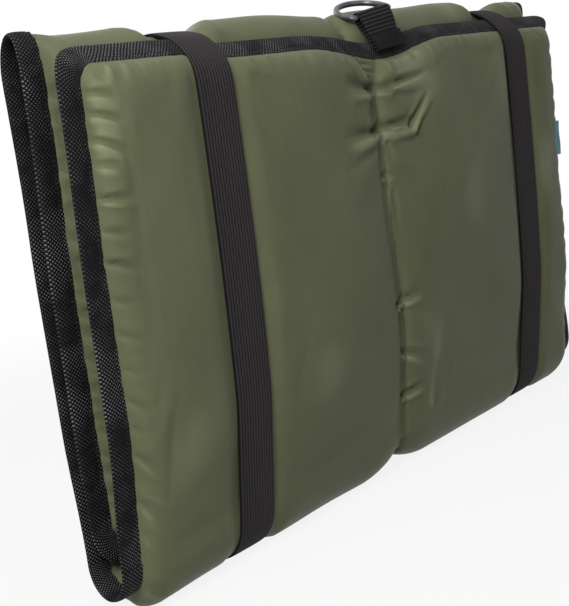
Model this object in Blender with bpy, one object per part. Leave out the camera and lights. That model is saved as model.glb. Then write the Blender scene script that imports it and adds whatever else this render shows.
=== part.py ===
"""Folding unhooking mat for carp fishing, letter-folded in three and standing on its lower fold.

The mat is one long padded strip.  Every piece is first described on the strip laid flat: x across
the mat, s along it from the front panel's free edge to the inner panel's free edge, and n, the
height off the strip's middle surface towards the outer cloth.  One side-view curve then folds the
strip.  X runs along the folds, the front panel faces -Y, +Z is up, and the origin is at the middle
of the foot.  Metres.
"""

import math
from typing import Callable, NamedTuple, Sequence

import bmesh
import bpy
from mathutils import Matrix, Vector

# Sizes of the whole mat
mat_width = 0.600           # across the strip, over the binding
panel_height = 0.295        # back panel, from fold to fold
front_rise = 0.015          # the front panel is longer than the back one by this
inner_tuck = 0.006          # and the inner panel by this
stack_pitch = 0.024         # between the middle surfaces of two panels that lie on each other
panel_gap = 0.0006          # air between two such panels
ground_cut = 0.0005         # the lower fold is flattened this deep where the mat stands on it
clearance = 0.0003          # between pieces that touch
weld = clearance / 100      # corners this close are one
bottom_squeeze_share = 0.76  # thickness of the stack at the lower fold
squeeze_height = 0.085      # the stack is at full thickness this far above the lower fold

# Cloth, foam and sewn seams
cloth = 0.0008
padding_gap = 0.0006        # between foam and cloth
shoulder = 0.018            # a cushion reaches its full height this far from a seam
crown = 0.0035              # extra height of the front and back cushions in their middle
fold_crown = 0.0035         # and of the upper fold
waist = 0.001               # the sides are drawn in by this at half a panel's height
fold_relief = 0.0017        # the foam gives way by this inside the upper fold
corner_radius = 0.025

# Woven binding folded over the edges
tape_width = 0.016
tape_thickness = 0.001
tape_setback = 0.002        # the cloth's edge stops this far inside the binding's fold
tape_nose_share = 0.6       # the fold's corners are drawn in by this share of its thickness
front_edge_shift = -0.001   # the binding stands off the middle surface by these
back_edge_shift = -0.004
inner_edge_shift = -0.006
lean_share = 0.48           # the front panel's top edge leans back by this share of the pitch

# Wave of the front panel's top edge
edge_dip = 0.012            # it sags by this where the channel meets it
dip_centre = 0.020
dip_reach = 0.090           # to each side of the dip's middle
lean_ease_share = 0.28      # the edge leans back less by this share in the dip
corner_lift = 0.0065        # the left corner stands up by this
lift_start = 0.200          # from the channel
lift_reach = 0.050
wave_fade = 0.100           # the wave has run out this far below the binding

# Elastic straps round the folded mat
strap_width = 0.034
strap_thickness = 0.0015
left_strap_inset = 0.121    # from the mat's end to the middle of each strap
right_strap_inset = 0.091
strap_dent = 0.006          # depth that a strap presses into the cushions
strap_ramp = 0.011          # width over which a dent runs out
strap_margin = 0.0025       # the dent is wider than the strap by this on each side

# Webbing tab and D-ring at the front panel's top edge
tab_width = 0.034
tab_thickness = 0.0014
tab_length = 0.030          # from the stitch line to the ring's bar
tab_offset = 0.033          # from the middle channel
tab_lift = 0.0008           # off the binding in the middle, because the binding sags there
tab_stitch_share = 0.35     # place of the stitch line on the leaning binding
tab_rise = math.radians(66.0)
tab_roll = math.radians(10.0)
ring_wire = 0.0045
ring_depth = 0.029          # from the bar's middle to the bow's middle
ring_rise = math.radians(30.0)
ring_side_gap = 0.002       # between the webbing and the ring's sides
bow_straight_share = 0.25   # straight part of the bow's legs

# Ribbon in the right-hand seam
ribbon_height = 0.031
ribbon_drop = 0.098         # below the front panel's top edge
ribbon_width = 0.011
ribbon_thickness = 0.001
ribbon_lift = 0.0065

# Derived places along the strip
half_width = mat_width / 2
front_length = panel_height + front_rise
inner_length = panel_height + inner_tuck
front_crease = front_length
back_crease = front_crease + math.pi * stack_pitch
top_crease = back_crease + panel_height
inner_crease = top_crease + math.pi * stack_pitch / 2
mat_length = inner_crease + inner_length

# Derived heights off the middle surface
core_half = (stack_pitch - panel_gap) / 2
seam_half = cloth + clearance / 2
tape_inner = seam_half + clearance
tape_outer = tape_inner + tape_thickness
side_seam = half_width - tape_width

# Derived heights above the ground
fold_radius = stack_pitch + core_half
foot_angle = math.acos(1 - ground_cut / fold_radius)
bottom_z = fold_radius * math.cos(foot_angle)
top_z = bottom_z + panel_height
lean = math.asin(min(1.0, lean_share * stack_pitch / tape_width))

left_strap_x = left_strap_inset - half_width
right_strap_x = half_width - right_strap_inset
strap_half = strap_width / 2
dent_half = strap_half + strap_margin

# Shares that place the cage lines between two seams, closer where the cushion curves
shoulder_shares = (0.0, 1 / 6, 1 / 2, 1.0)
panel_row_shares = (0.17, 0.35, 0.69, 0.84)
dip_column_shares = (-0.85, -0.55, 0.25, 0.5, 0.75, 1.0)
lift_column_share = 0.7
back_row_shares = (0.0, 0.15, 0.3, 0.5, 0.75, 1.0)
bottom_rows = 4             # between a crease and the foot, on each side
top_rows = 6
ring_steps = 14
tab_steps = 6               # round the webbing's loop
waist_power = 8             # keeps the drawn-in sides near the edges
sharp_angle = math.radians(50.0)
ring_bevel_resolution = 2


class Paint(NamedTuple):
    """Colour and finish of one material."""

    colour: tuple[float, float, float]
    roughness: float
    metallic: float = 0.0


outer_cloth = Paint((0.095, 0.11, 0.062), 0.45)
lining_cloth = Paint((0.085, 0.10, 0.058), 0.5)
foam = Paint((0.55, 0.56, 0.53), 0.9)
tape = Paint((0.022, 0.021, 0.024), 0.8)
elastic = Paint((0.02, 0.02, 0.021), 0.75)
webbing = Paint((0.018, 0.018, 0.018), 0.8)
ring_metal = Paint((0.05, 0.052, 0.055), 0.35, 0.7)
ribbon_blue = Paint((0.02, 0.23, 0.42), 0.5)


def smooth_step(t: float) -> float:
    """0 below 0, 1 above 1, with level ends."""
    t = min(max(t, 0.0), 1.0)
    return t * t * (3 - 2 * t)


def rise(distance: float) -> float:
    """Round shoulder of a cushion: 0 at a seam, 1 from one shoulder's width on."""
    t = min(max(distance / shoulder, 0.0), 1.0)
    return math.sqrt(1 - (1 - t) ** 2)


def between(start: float, end: float, shares: Sequence[float]) -> list[float]:
    """Places at the given shares of the way from start to end."""
    return [start + (end - start) * share for share in shares]


def even(start: float, end: float, count: int) -> list[float]:
    """Evenly spaced places that split start to end into count steps."""
    return [start + (end - start) * step / count for step in range(count + 1)]


# The strip's thickness

def fullness(x: float, s: float) -> float:
    """0 along every seam, 1 on the flat of a cushion."""
    across = rise(side_seam - abs(x)) * rise(abs(x))
    return across * rise(s - tape_width) * rise(mat_length - tape_width - s)


def arch(s: float, start: float, end: float) -> float:
    """0 outside a stretch, rising to 1 in its middle."""
    return math.sin(math.pi * (s - start) / (end - start)) if start < s < end else 0.0


def panel_share(s: float) -> float:
    """Bulge along a panel: 0 at its ends and on the folds, 1 at half its height."""
    return arch(s, tape_width, front_crease) + arch(s, back_crease, top_crease)


def cushion_share(x: float) -> float:
    """Bulge across a cushion: 0 at the channel and the side seam, 1 between them."""
    u = min(abs(x) / side_seam, 1.0)
    return 4 * u * (1 - u)


def nearest_strap(x: float) -> float:
    """Middle of the strap on this side of the channel."""
    return left_strap_x if x < 0 else right_strap_x


def dent_share(x: float) -> float:
    """1 under a strap, running out to 0 beside it."""
    reach = abs(x - nearest_strap(x)) - dent_half
    return 1 - smooth_step(reach / strap_ramp)


def edge_shift(s: float) -> float:
    """Height of the seam off the middle surface: it changes over the two folds."""
    lower = smooth_step((s - front_crease) / (back_crease - front_crease))
    upper = smooth_step((s - top_crease) / (inner_crease - top_crease))
    shift = front_edge_shift + (back_edge_shift - front_edge_shift) * lower
    return shift + (inner_edge_shift - back_edge_shift) * upper


def seam_shift(x: float, s: float) -> float:
    """The shift holds along the sides and free ends, and leaves the channel in the middle."""
    near_side = 1 - rise(side_seam - abs(x))
    near_end = 1 - rise(s - tape_width) * rise(mat_length - tape_width - s)
    return edge_shift(s) * max(near_side, near_end)


def outer_height(x: float, s: float) -> float:
    """Height of the outer cloth's outside."""
    flat = seam_half + (core_half - seam_half) * fullness(x, s)
    pressed = dent_share(x)
    level_x = x + (nearest_strap(x) - x) * pressed
    crest = crown * panel_share(s) + fold_crown * arch(s, top_crease, inner_crease) ** 2
    bulge = crest * cushion_share(level_x) * fullness(x, s)
    dent = 0.0 if s > inner_crease else strap_dent * pressed * fullness(x, s)
    return seam_shift(x, s) + flat + bulge - dent


def inner_height(x: float, s: float) -> float:
    """Height of the lining's outside, below the middle surface."""
    reach = max(top_crease - s, s - inner_crease, 0.0)
    relief = fold_relief * (1 - smooth_step(reach / shoulder))
    flat = seam_half + (core_half - relief - seam_half) * fullness(x, s)
    return seam_shift(x, s) - flat


# The strip's shape in space

def round_corner(x: float, s: float) -> tuple[float, float, float, float]:
    """Turn the square corners of the two free ends into round ones.

    Gives the moved x and distance from the free end, then how far into the edge the point lies
    and how much that edge faces the free end.
    """
    end = min(s, mat_length - s)
    a = (abs(x) - (half_width - corner_radius)) / corner_radius
    b = (corner_radius - end) / corner_radius
    if a <= 0 or b <= 0:
        depth = max(tape_width - end, 0.0)
        return x, end, depth, 1.0 if b > 0 else 0.0
    length = math.hypot(a, b)
    radius = max(a, b) * corner_radius
    moved_x = math.copysign(half_width - corner_radius + radius * a / length, x)
    depth = max(radius - (corner_radius - tape_width), 0.0)
    return moved_x, corner_radius - radius * b / length, depth, (b / length) ** 2


def dip_share(x: float) -> float:
    """1 where the front panel's top edge sags most, running out to 0 on both sides."""
    return 1 - smooth_step(abs(x - dip_centre) / dip_reach)


def edge_wave(x: float) -> float:
    """Height of the front panel's top edge above its straight line."""
    lift = corner_lift * smooth_step((-x - lift_start) / lift_reach)
    return lift - edge_dip * dip_share(x)


def edge_lean(x: float) -> float:
    """The top edge leans back less where it sags, because it then lies on the inner panel."""
    return lean * (1 - lean_ease_share * min(1.0, 2 * dip_share(x)))


def side_view(s: float, n: float) -> tuple[float, float]:
    """Fold the strip: the place (y, z) of a point at length s and height n."""
    if s <= front_crease:
        y, z = -stack_pitch - n, bottom_z + front_crease - s
    elif s <= back_crease:
        angle = (s - front_crease) / stack_pitch
        y, z = -(stack_pitch + n) * math.cos(angle), bottom_z - (stack_pitch + n) * math.sin(angle)
    elif s <= top_crease:
        y, z = stack_pitch + n, bottom_z + s - back_crease
    elif s <= inner_crease:
        radius = stack_pitch / 2
        angle = (s - top_crease) / radius
        y, z = radius + (radius + n) * math.cos(angle), top_z + (radius + n) * math.sin(angle)
    else:
        y, z = -n, top_z - (s - inner_crease)
    squeeze = smooth_step((z - bottom_z) / squeeze_height)
    return y * (bottom_squeeze_share + (1 - bottom_squeeze_share) * squeeze), z


def place(x: float, s: float, n: float) -> Vector:
    """Take a point of the flat strip to its place on the folded mat."""
    moved_x, end, depth, facing = round_corner(x, s)
    on_front = s < front_crease
    moved_s = end if s < mat_length / 2 else mat_length - end
    if on_front:
        moved_s -= edge_wave(x) * (1 - smooth_step((moved_s - tape_width) / wave_fade))
        slant = edge_lean(x) * facing if depth > 0 else 0.0
        moved_s += depth * (1 - math.cos(slant)) - n * math.sin(slant)
        n = n * math.cos(slant) - depth * math.sin(slant)
    drawn = waist * panel_share(s) * (abs(x) / half_width) ** waist_power
    y, z = side_view(moved_s, n)
    return Vector((moved_x - math.copysign(drawn, x), y, z))


# Modelling tools

def make_material(name: str, paint: Paint) -> bpy.types.Material:
    """A Principled material."""
    material = bpy.data.materials.new(name)
    material.use_nodes = True
    shader = material.node_tree.nodes["Principled BSDF"]
    shader.inputs["Base Color"].default_value = (*paint.colour, 1.0)
    shader.inputs["Roughness"].default_value = paint.roughness
    shader.inputs["Metallic"].default_value = paint.metallic
    return material


def add_object(name: str, data: bpy.types.ID, paint: Paint, collection, joint) -> bpy.types.Object:
    """Link one sub-part under its joint's empty, keeping its world place."""
    obj = bpy.data.objects.new(name, data)
    data.materials.append(make_material(f"{name}_material", paint))
    collection.objects.link(obj)
    if joint is not None:
        obj.parent = joint
        obj.matrix_parent_inverse = joint.matrix_world.inverted()
    return obj


def add_slab(name: str, columns: Sequence, rows: Sequence, corner: Callable, paint: Paint,
             collection, joint) -> bpy.types.Object:
    """A closed slab of one cell's thickness: corner(column, row, layer) places its corners."""
    mesh_builder = bmesh.new()
    bmesh.ops.create_grid(mesh_builder, x_segments=len(columns) - 1, y_segments=len(rows) - 1,
                          size=0.5)
    sheet = bmesh.ops.extrude_face_region(mesh_builder, geom=mesh_builder.faces[:])
    upper = {item for item in sheet["geom"] if isinstance(item, bmesh.types.BMVert)}
    for vert in mesh_builder.verts:
        column = columns[round((vert.co.x + 0.5) * (len(columns) - 1))]
        row = rows[round((vert.co.y + 0.5) * (len(rows) - 1))]
        vert.co = corner(column, row, 1 if vert in upper else 0)
    bmesh.ops.remove_doubles(mesh_builder, verts=mesh_builder.verts[:], dist=weld)
    bmesh.ops.triangulate(mesh_builder, faces=mesh_builder.faces[:], quad_method="SHORT_EDGE")
    bmesh.ops.recalc_face_normals(mesh_builder, faces=mesh_builder.faces[:])
    if mesh_builder.calc_volume(signed=True) < 0:
        bmesh.ops.reverse_faces(mesh_builder, faces=mesh_builder.faces[:])
    mesh = bpy.data.meshes.new(name)
    mesh_builder.to_mesh(mesh)
    mesh_builder.free()
    mesh.shade_smooth()
    mesh.set_sharp_from_angle(angle=sharp_angle)
    return add_object(name, mesh, paint, collection, joint)


# Cage lines

def merge_lines(lines: Sequence[float]) -> list[float]:
    """The lines in order, without the ones that fall together."""
    kept = []
    for line in sorted(lines):
        if not kept or line - kept[-1] > clearance:
            kept.append(line)
    return kept


def shoulder_columns(seam: float, towards: float) -> list[float]:
    """Columns from a seam up its shoulder."""
    return between(seam, seam + math.copysign(shoulder, towards - seam), shoulder_shares)


def strap_columns(centre: float) -> list[float]:
    """Columns at the two edges of a strap's dent and where it runs out."""
    wide = dent_half + strap_ramp
    return [centre - wide, centre - dent_half, centre + dent_half, centre + wide]


def wave_columns(side: int) -> list[float]:
    """Columns of one cushion that follow the wave of the front panel's top edge."""
    dip = [dip_centre + dip_reach * share for share in dip_column_shares]
    lift = [-lift_start - lift_reach * lift_column_share]
    return [x for x in dip + lift if x * side > 0]


def cushion_columns(side: int) -> list[float]:
    """Columns of one cushion, from the smaller x to the larger one."""
    strap = strap_columns(left_strap_x if side < 0 else right_strap_x)
    lines = shoulder_columns(side * side_seam, 0.0) + strap + shoulder_columns(0.0, side)
    return sorted(lines + wave_columns(side))


def cloth_columns() -> list[float]:
    """Columns of a cloth from edge to edge, through the channel."""
    edge = half_width - tape_setback
    lines = [-edge, -half_width + corner_radius, half_width - corner_radius, edge]
    lines += cushion_columns(-1) + cushion_columns(1)
    return merge_lines(lines)


class Segment(NamedTuple):
    """A stretch of the strip that moves as one."""

    name: str
    rows: tuple[float, ...]
    free_end: int           # -1: its first row is a free edge, 1: its last row, 0: none
    joint: bpy.types.Object | None


def free_rows(end: float, crease: float, shares: Sequence[float]) -> list[float]:
    """Rows from a free edge over its seam and shoulder to the crease."""
    inward = math.copysign(1.0, crease - end)
    lines = [end + inward * tape_setback, end + inward * corner_radius]
    lines += shoulder_columns(end + inward * tape_width, crease)
    lines += between(end + inward * (tape_width + shoulder), crease, shares)
    lines.append(crease - inward * clearance / 2)
    return merge_lines(lines)


def fold_rows(start: float, end: float) -> list[float]:
    """Rows round the lower fold, with one flat row at the foot."""
    middle = (start + end) / 2
    foot = foot_angle * stack_pitch
    down = even(start + clearance / 2, middle - foot, bottom_rows)
    up = even(middle + foot, end - clearance / 2, bottom_rows)
    return down + up


# Sub-parts of the padded strip

def add_cloths(segment: Segment, collection) -> None:
    """The outer cloth and the lining of one stretch."""
    def outer(x, s, layer):
        return place(x, s, outer_height(x, s) - (0.0 if layer else cloth))

    def inner(x, s, layer):
        return place(x, s, inner_height(x, s) + (cloth if layer else 0.0))

    columns = cloth_columns()
    add_slab(f"{segment.name}_cover", columns, segment.rows, outer, outer_cloth, collection,
             segment.joint)
    add_slab(f"{segment.name}_lining", columns, segment.rows, inner, lining_cloth, collection,
             segment.joint)


def add_pads(segment: Segment, collection) -> None:
    """The left and right foam pads of one stretch."""
    skin = cloth + padding_gap

    def surface(x, s, layer):
        height = outer_height(x, s) - skin if layer else inner_height(x, s) + skin
        return place(x, s, height)

    margin = tape_width + shoulder * shoulder_shares[1] - clearance
    rows = [s for s in segment.rows if margin <= s <= mat_length - margin]
    for side, side_name in ((-1, "left"), (1, "right")):
        columns = cushion_columns(side)[1:-1]
        add_slab(f"{segment.name}_foam_{side_name}", columns, rows, surface, foam, collection,
                 segment.joint)


class RimStation(NamedTuple):
    """A place on the strip's outline, and the way its inset moves it."""

    x: float
    s: float
    step_x: float
    step_s: float


def side_rim(side: int, rows: Sequence[float]) -> list[RimStation]:
    """Outline along one side."""
    return [RimStation(side * half_width, s, -side, 0.0) for s in rows]


def free_rim(segment: Segment) -> list[RimStation]:
    """Outline from the crease up the left side, over the free end and down the right side."""
    end = 0.0 if segment.free_end < 0 else mat_length
    inward = -segment.free_end
    rows = [s for s in segment.rows if abs(s - end) >= tape_width - clearance]
    rows.sort(key=lambda s: -abs(s - end))
    left = side_rim(-1, rows) + [RimStation(-half_width, end, 1.0, inward)]
    right = side_rim(1, rows) + [RimStation(half_width, end, -1.0, inward)]
    top = [RimStation(x, end, 0.0, inward) for x in cloth_columns()
           if abs(x) <= side_seam + clearance]
    return left + top + right[::-1]


def add_tape(name: str, stations: Sequence[RimStation], collection, joint) -> None:
    """Binding folded over the edge along the stations."""
    nose = tape_thickness * tape_nose_share
    inside = ((tape_width, tape_inner), (tape_thickness, tape_inner), (tape_thickness, 0.0),
              (tape_thickness, -tape_inner), (tape_width, -tape_inner))
    outside = ((tape_width, tape_outer), (nose, tape_outer), (0.0, 0.0),
               (nose, -tape_outer), (tape_width, -tape_outer))

    def corner(station, across, layer):
        inset, height = (outside if layer else inside)[across]
        x = station.x + inset * station.step_x
        s = station.s + inset * station.step_s
        return place(x, s, edge_shift(s) + height)

    add_slab(name, stations, range(len(outside)), corner, tape, collection, joint)


def add_free_tape(segment: Segment, collection) -> None:
    """One binding round a panel's two sides and free end."""
    add_tape(f"{segment.name}_binding", free_rim(segment), collection, segment.joint)


def add_side_tapes(segment: Segment, collection) -> None:
    """The left and right bindings of a stretch without a free edge."""
    for side, side_name in ((-1, "left"), (1, "right")):
        add_tape(f"{segment.name}_binding_{side_name}", side_rim(side, segment.rows), collection,
                 segment.joint)


# Straps

def convex_hull(points: Sequence[tuple[float, float]]) -> list[tuple[float, float]]:
    """Convex outline of the points, counter-clockwise."""
    def turn(o, a, b):
        return (a[0] - o[0]) * (b[1] - o[1]) - (a[1] - o[1]) * (b[0] - o[0])

    def chain(ordered):
        kept = []
        for point in ordered:
            while len(kept) > 1 and turn(kept[-2], kept[-1], point) <= clearance * clearance:
                kept.pop()
            kept.append(point)
        return kept[:-1]

    ordered = sorted(set(points))
    return chain(ordered) + chain(ordered[::-1])


def grow_outline(outline: Sequence[tuple[float, float]], offset: float) -> list[tuple]:
    """Move every side of a counter-clockwise convex outline outwards."""
    grown = []
    for index, point in enumerate(outline):
        before = Vector(point) - Vector(outline[index - 1])
        after = Vector(outline[(index + 1) % len(outline)]) - Vector(point)
        out_before = Vector((before.y, -before.x)).normalized()
        out_after = Vector((after.y, -after.x)).normalized()
        mitre = out_before + out_after
        grown.append(tuple(Vector(point) + mitre * (offset / (1 + out_before.dot(out_after)))))
    return grown


def stack_outline(x: float, segments: Sequence[Segment]) -> list[tuple[float, float]]:
    """Convex side view of the folded mat at x."""
    points = []
    for segment in segments:
        for s in segment.rows:
            if tape_width <= s <= inner_crease:
                points.append(tuple(place(x, s, outer_height(x, s)).yz))
    for s in (0.0, tape_width):
        points.append(tuple(place(x, s, edge_shift(s) + tape_outer).yz))
    return convex_hull([(y, z) for y, z in points])


def add_strap(name: str, x: float, segments: Sequence[Segment], collection, joint) -> None:
    """An elastic loop drawn tight round the folded mat."""
    outline = stack_outline(x, segments)
    curve = bpy.data.curves.new(name, "CURVE")
    curve.dimensions = "2D"
    curve.fill_mode = "BOTH"
    curve.extrude = strap_half
    for offset in (clearance, clearance + strap_thickness):
        points = grow_outline(outline, offset)
        spline = curve.splines.new("POLY")
        spline.points.add(len(points) - 1)
        for target, (y, z) in zip(spline.points, points):
            target.co = (y, z, 0.0, 1.0)
        spline.use_cyclic_u = True
    obj = add_object(name, curve, elastic, collection, None)
    obj.matrix_world = Matrix.Translation((x, 0.0, 0.0)) @ Matrix(
        ((0, 0, 1, 0), (1, 0, 0, 0), (0, 1, 0, 0), (0, 0, 0, 1)))
    obj.parent = joint
    obj.matrix_parent_inverse = joint.matrix_world.inverted()


# Tab, ring and ribbon

class TabFrame(NamedTuple):
    """Where the tab is stitched and how it and the ring point."""

    stitch: Vector
    base_axis: Vector
    along: Vector
    normal: Vector
    bar: Vector
    bar_axis: Vector
    bow: Vector


def tab_frame() -> TabFrame:
    """Frame of the tab on the front panel's leaning top edge."""
    s = tape_width * (1 - tab_stitch_share)
    height = edge_shift(s) + tape_outer + tab_thickness + 2 * clearance + tab_lift
    stitch = place(tab_offset, s, height)
    half_tab = tab_width / 2
    base = place(tab_offset + half_tab, s, height) - place(tab_offset - half_tab, s, height)
    base_axis = Vector((base.x, 0.0, base.z)).normalized()
    level = Vector((0.0, math.cos(tab_rise), math.sin(tab_rise)))
    along = (level - base_axis * level.dot(base_axis)).normalized()
    normal = base_axis.cross(along)
    bar_axis = Matrix.Rotation(-tab_roll, 3, along) @ base_axis
    level = Vector((0.0, math.cos(ring_rise), math.sin(ring_rise)))
    bow = (level - bar_axis * level.dot(bar_axis)).normalized()
    return TabFrame(stitch, base_axis, along, normal, stitch + along * tab_length, bar_axis, bow)


def add_tab(frame: TabFrame, collection, joint) -> None:
    """Webbing folded round the ring's bar, its two ends stitched to the binding."""
    loop_radius = ring_wire / 2 + clearance + tab_thickness / 2
    base_half = (tab_thickness + clearance) / 2
    loop_start = tab_length - ring_wire
    route = []
    for distance, half in ((0.0, base_half), (tab_length / 2, base_half),
                           (loop_start, loop_radius), (tab_length, loop_radius)):
        route.append((distance, -half, -1.0, 0.0))
    for angle in even(0.0, math.pi, tab_steps)[1:-1]:
        route.append((tab_length + loop_radius * math.sin(angle), -loop_radius * math.cos(angle),
                      -math.cos(angle), math.sin(angle)))
    route += [(distance, -height, -side, lengthwise)
              for distance, height, side, lengthwise in route[3::-1]]

    def corner(step, across, layer):
        distance, height, side, lengthwise = step
        offset = tab_thickness / 2 * (1 if layer else -1)
        distance += lengthwise * offset
        height += side * offset
        twist = Matrix.Rotation(-tab_roll * min(distance / loop_start, 1.0), 3, frame.along)
        return frame.stitch + frame.along * distance + twist @ (
            frame.base_axis * across + frame.normal * height)

    add_slab("ring_tab", route, (-tab_width / 2, 0.0, tab_width / 2), corner, webbing, collection,
             joint)


def add_ring(frame: TabFrame, collection, joint) -> None:
    """The D-ring: a straight bar in the webbing and a round bow."""
    half_bar = tab_width / 2 + ring_side_gap + ring_wire / 2
    straight = ring_depth * bow_straight_share
    bend = half_bar - ring_wire / 2
    points = [(-bend, 0.0), (0.0, 0.0), (bend, 0.0)]
    for angle in even(0.0, math.pi, ring_steps):
        points.append((half_bar * math.cos(angle),
                       straight + (ring_depth - straight) * math.sin(angle)))
    curve = bpy.data.curves.new("d_ring", "CURVE")
    curve.dimensions = "3D"
    curve.bevel_depth = ring_wire / 2
    curve.bevel_resolution = ring_bevel_resolution
    spline = curve.splines.new("POLY")
    spline.points.add(len(points) - 1)
    for target, (across, outwards) in zip(spline.points, points):
        target.co = (*(frame.bar + frame.bar_axis * across + frame.bow * outwards), 1.0)
    spline.use_cyclic_u = True
    add_object("d_ring", curve, ring_metal, collection, joint)


def add_ribbon(collection, joint) -> None:
    """A plain ribbon folded into the right-hand seam of the front panel."""
    def corner(share, s, layer):
        x = side_seam + clearance + ribbon_width * share
        height = edge_shift(s) + tape_outer + clearance + ribbon_lift * share
        return place(x, s, height + (ribbon_thickness if layer else 0.0))

    rows = between(ribbon_drop, ribbon_drop + ribbon_height, (0.0, 0.5, 1.0))
    add_slab("side_ribbon", (0.0, 0.5, 1.0), rows, corner, ribbon_blue, collection, joint)


# Joints

def add_joint(name: str, location: Vector, collection, parent=None) -> bpy.types.Object:
    """An empty on a joint's axis."""
    empty = bpy.data.objects.new(name, None)
    empty.empty_display_size = tape_width
    collection.objects.link(empty)
    empty.location = location
    if parent is not None:
        empty.parent = parent
        empty.matrix_parent_inverse = parent.matrix_world.inverted()
    bpy.context.view_layer.update()
    return empty


def crease_point(s: float) -> Vector:
    """Axis of a crease: the outer cloth's face at the middle of the mat."""
    y, z = side_view(s, stack_pitch / 2)
    return Vector((0.0, y, z))


def build() -> None:
    """Model the whole mat."""
    for obj in list(bpy.data.objects):
        bpy.data.objects.remove(obj, do_unlink=True)
    mat = bpy.data.collections.new("unhooking_mat")
    bpy.context.scene.collection.children.link(mat)

    bottom_joint = add_joint("bottom_fold_axis", crease_point(back_crease), mat)
    front_joint = add_joint("front_panel_axis", crease_point(front_crease), mat, bottom_joint)
    top_joint = add_joint("top_fold_axis", crease_point(top_crease), mat)
    inner_joint = add_joint("inner_panel_axis", crease_point(inner_crease), mat, top_joint)
    half_gap = clearance / 2
    back_rows = between(back_crease + half_gap, top_crease - half_gap,
                        back_row_shares)
    segments = (
        Segment("front_panel", tuple(free_rows(0.0, front_crease, panel_row_shares)), -1,
                front_joint),
        Segment("bottom_fold", tuple(fold_rows(front_crease, back_crease)), 0, bottom_joint),
        Segment("back_panel", tuple(back_rows), 0, None),
        Segment("top_fold", tuple(even(top_crease + half_gap, inner_crease - half_gap, top_rows)),
                0, top_joint),
        Segment("inner_panel", tuple(free_rows(mat_length, inner_crease, panel_row_shares)), 1,
                inner_joint),
    )
    for segment in segments:
        add_cloths(segment, mat)
        add_pads(segment, mat)
        if segment.free_end:
            add_free_tape(segment, mat)
        else:
            add_side_tapes(segment, mat)

    for side_name, x in (("left", left_strap_x), ("right", right_strap_x)):
        slide = add_joint(f"strap_{side_name}_slide", Vector((x, 0.0, 0.0)), mat)
        add_strap(f"strap_{side_name}", x, segments, mat, slide)

    frame = tab_frame()
    tab_joint = add_joint("ring_tab_axis", frame.stitch, mat, front_joint)
    ring_joint = add_joint("d_ring_axis", frame.bar, mat, tab_joint)
    add_tab(frame, mat, tab_joint)
    add_ring(frame, mat, ring_joint)
    add_ribbon(mat, front_joint)


if __name__ == "__main__":
    build()
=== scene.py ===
"""Looks of a folding unhooking mat: padded nylon, taped edges, elastic straps, a tab and a ring.

The mat is one long padded strip. Its pieces are described on the strip laid flat: x across the mat,
s along it from the front panel's free edge to the inner panel's free edge, and n, the height off the
strip's middle surface towards the outer cloth. One side-view curve then folds the strip. X runs
along the folds, the front panel faces -Y, +Z is up and the origin is at the middle of the foot.
Lengths are in metres.
"""

import logging
import math
from dataclasses import dataclass, field
from enum import Enum
from typing import Any, Sequence

import bpy
import numpy as np
from mathutils import Matrix, Vector

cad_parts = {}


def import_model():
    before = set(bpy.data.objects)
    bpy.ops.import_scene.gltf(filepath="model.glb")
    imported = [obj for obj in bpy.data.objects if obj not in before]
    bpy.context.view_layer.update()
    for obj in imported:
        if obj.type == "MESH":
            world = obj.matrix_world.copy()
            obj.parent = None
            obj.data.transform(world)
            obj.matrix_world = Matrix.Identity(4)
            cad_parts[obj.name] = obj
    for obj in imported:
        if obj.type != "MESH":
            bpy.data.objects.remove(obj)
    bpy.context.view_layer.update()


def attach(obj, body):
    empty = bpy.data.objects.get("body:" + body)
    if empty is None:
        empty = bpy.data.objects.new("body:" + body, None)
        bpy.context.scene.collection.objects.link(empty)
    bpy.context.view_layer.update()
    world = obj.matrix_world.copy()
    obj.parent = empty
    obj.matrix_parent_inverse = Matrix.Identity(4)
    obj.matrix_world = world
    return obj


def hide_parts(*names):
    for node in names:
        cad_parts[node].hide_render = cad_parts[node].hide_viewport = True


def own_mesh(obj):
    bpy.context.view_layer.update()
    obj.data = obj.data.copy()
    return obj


log = logging.getLogger("unhooking_mat")

Array = np.ndarray
Number = float | Array
Colour = tuple[float, float, float]
Material = bpy.types.Material
Object = bpy.types.Object
UV_NAME = "strip"
FOLD_NAME = "fold"
TURN = 2 * math.pi
CREASE_GAP = 0.00002  # air between two pieces that meet at a crease


# Curves


def smooth_step(t: Number) -> Array:
    """0 below 0, 1 above 1, with level ends."""
    t = np.clip(t, 0.0, 1.0)
    return t * t * (3 - 2 * t)


def arch(s: Number, start: float, end: float) -> Array:
    """0 outside a stretch, rising to 1 in its middle."""
    share = (np.asarray(s, float) - start) / (end - start)
    return np.where((share > 0) & (share < 1), np.sin(np.pi * np.clip(share, 0, 1)), 0.0)


def round_rise(distance: Number, shoulder: float) -> Array:
    """Round shoulder of a cushion: 0 at a seam, 1 from one shoulder's width on."""
    t = np.clip(np.asarray(distance, float) / shoulder, 0.0, 1.0)
    return np.sqrt(1 - (1 - t) ** 2)


def distances(line: Array) -> Array:
    """Distance of each point of a line from its first one, along the line."""
    return np.concatenate([[0.0], np.cumsum(np.linalg.norm(np.diff(line, axis=0), axis=1))])


def spaced(*stretches: tuple[float, float, float]) -> Array:
    """Places from each start to each end, at most a step apart, without doubles.

    Args:
        stretches: start, end and longest step of each stretch.

    Returns:
        The places in order.
    """
    lines: list[float] = []
    for start, end, step in stretches:
        count = max(1, math.ceil(abs(end - start) / step))
        lines += list(np.linspace(start, end, count + 1))
    kept = [lines[0]]
    for line in lines[1:]:
        if abs(line - kept[-1]) > 1e-5:
            kept.append(line)
    return np.array(kept)


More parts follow.
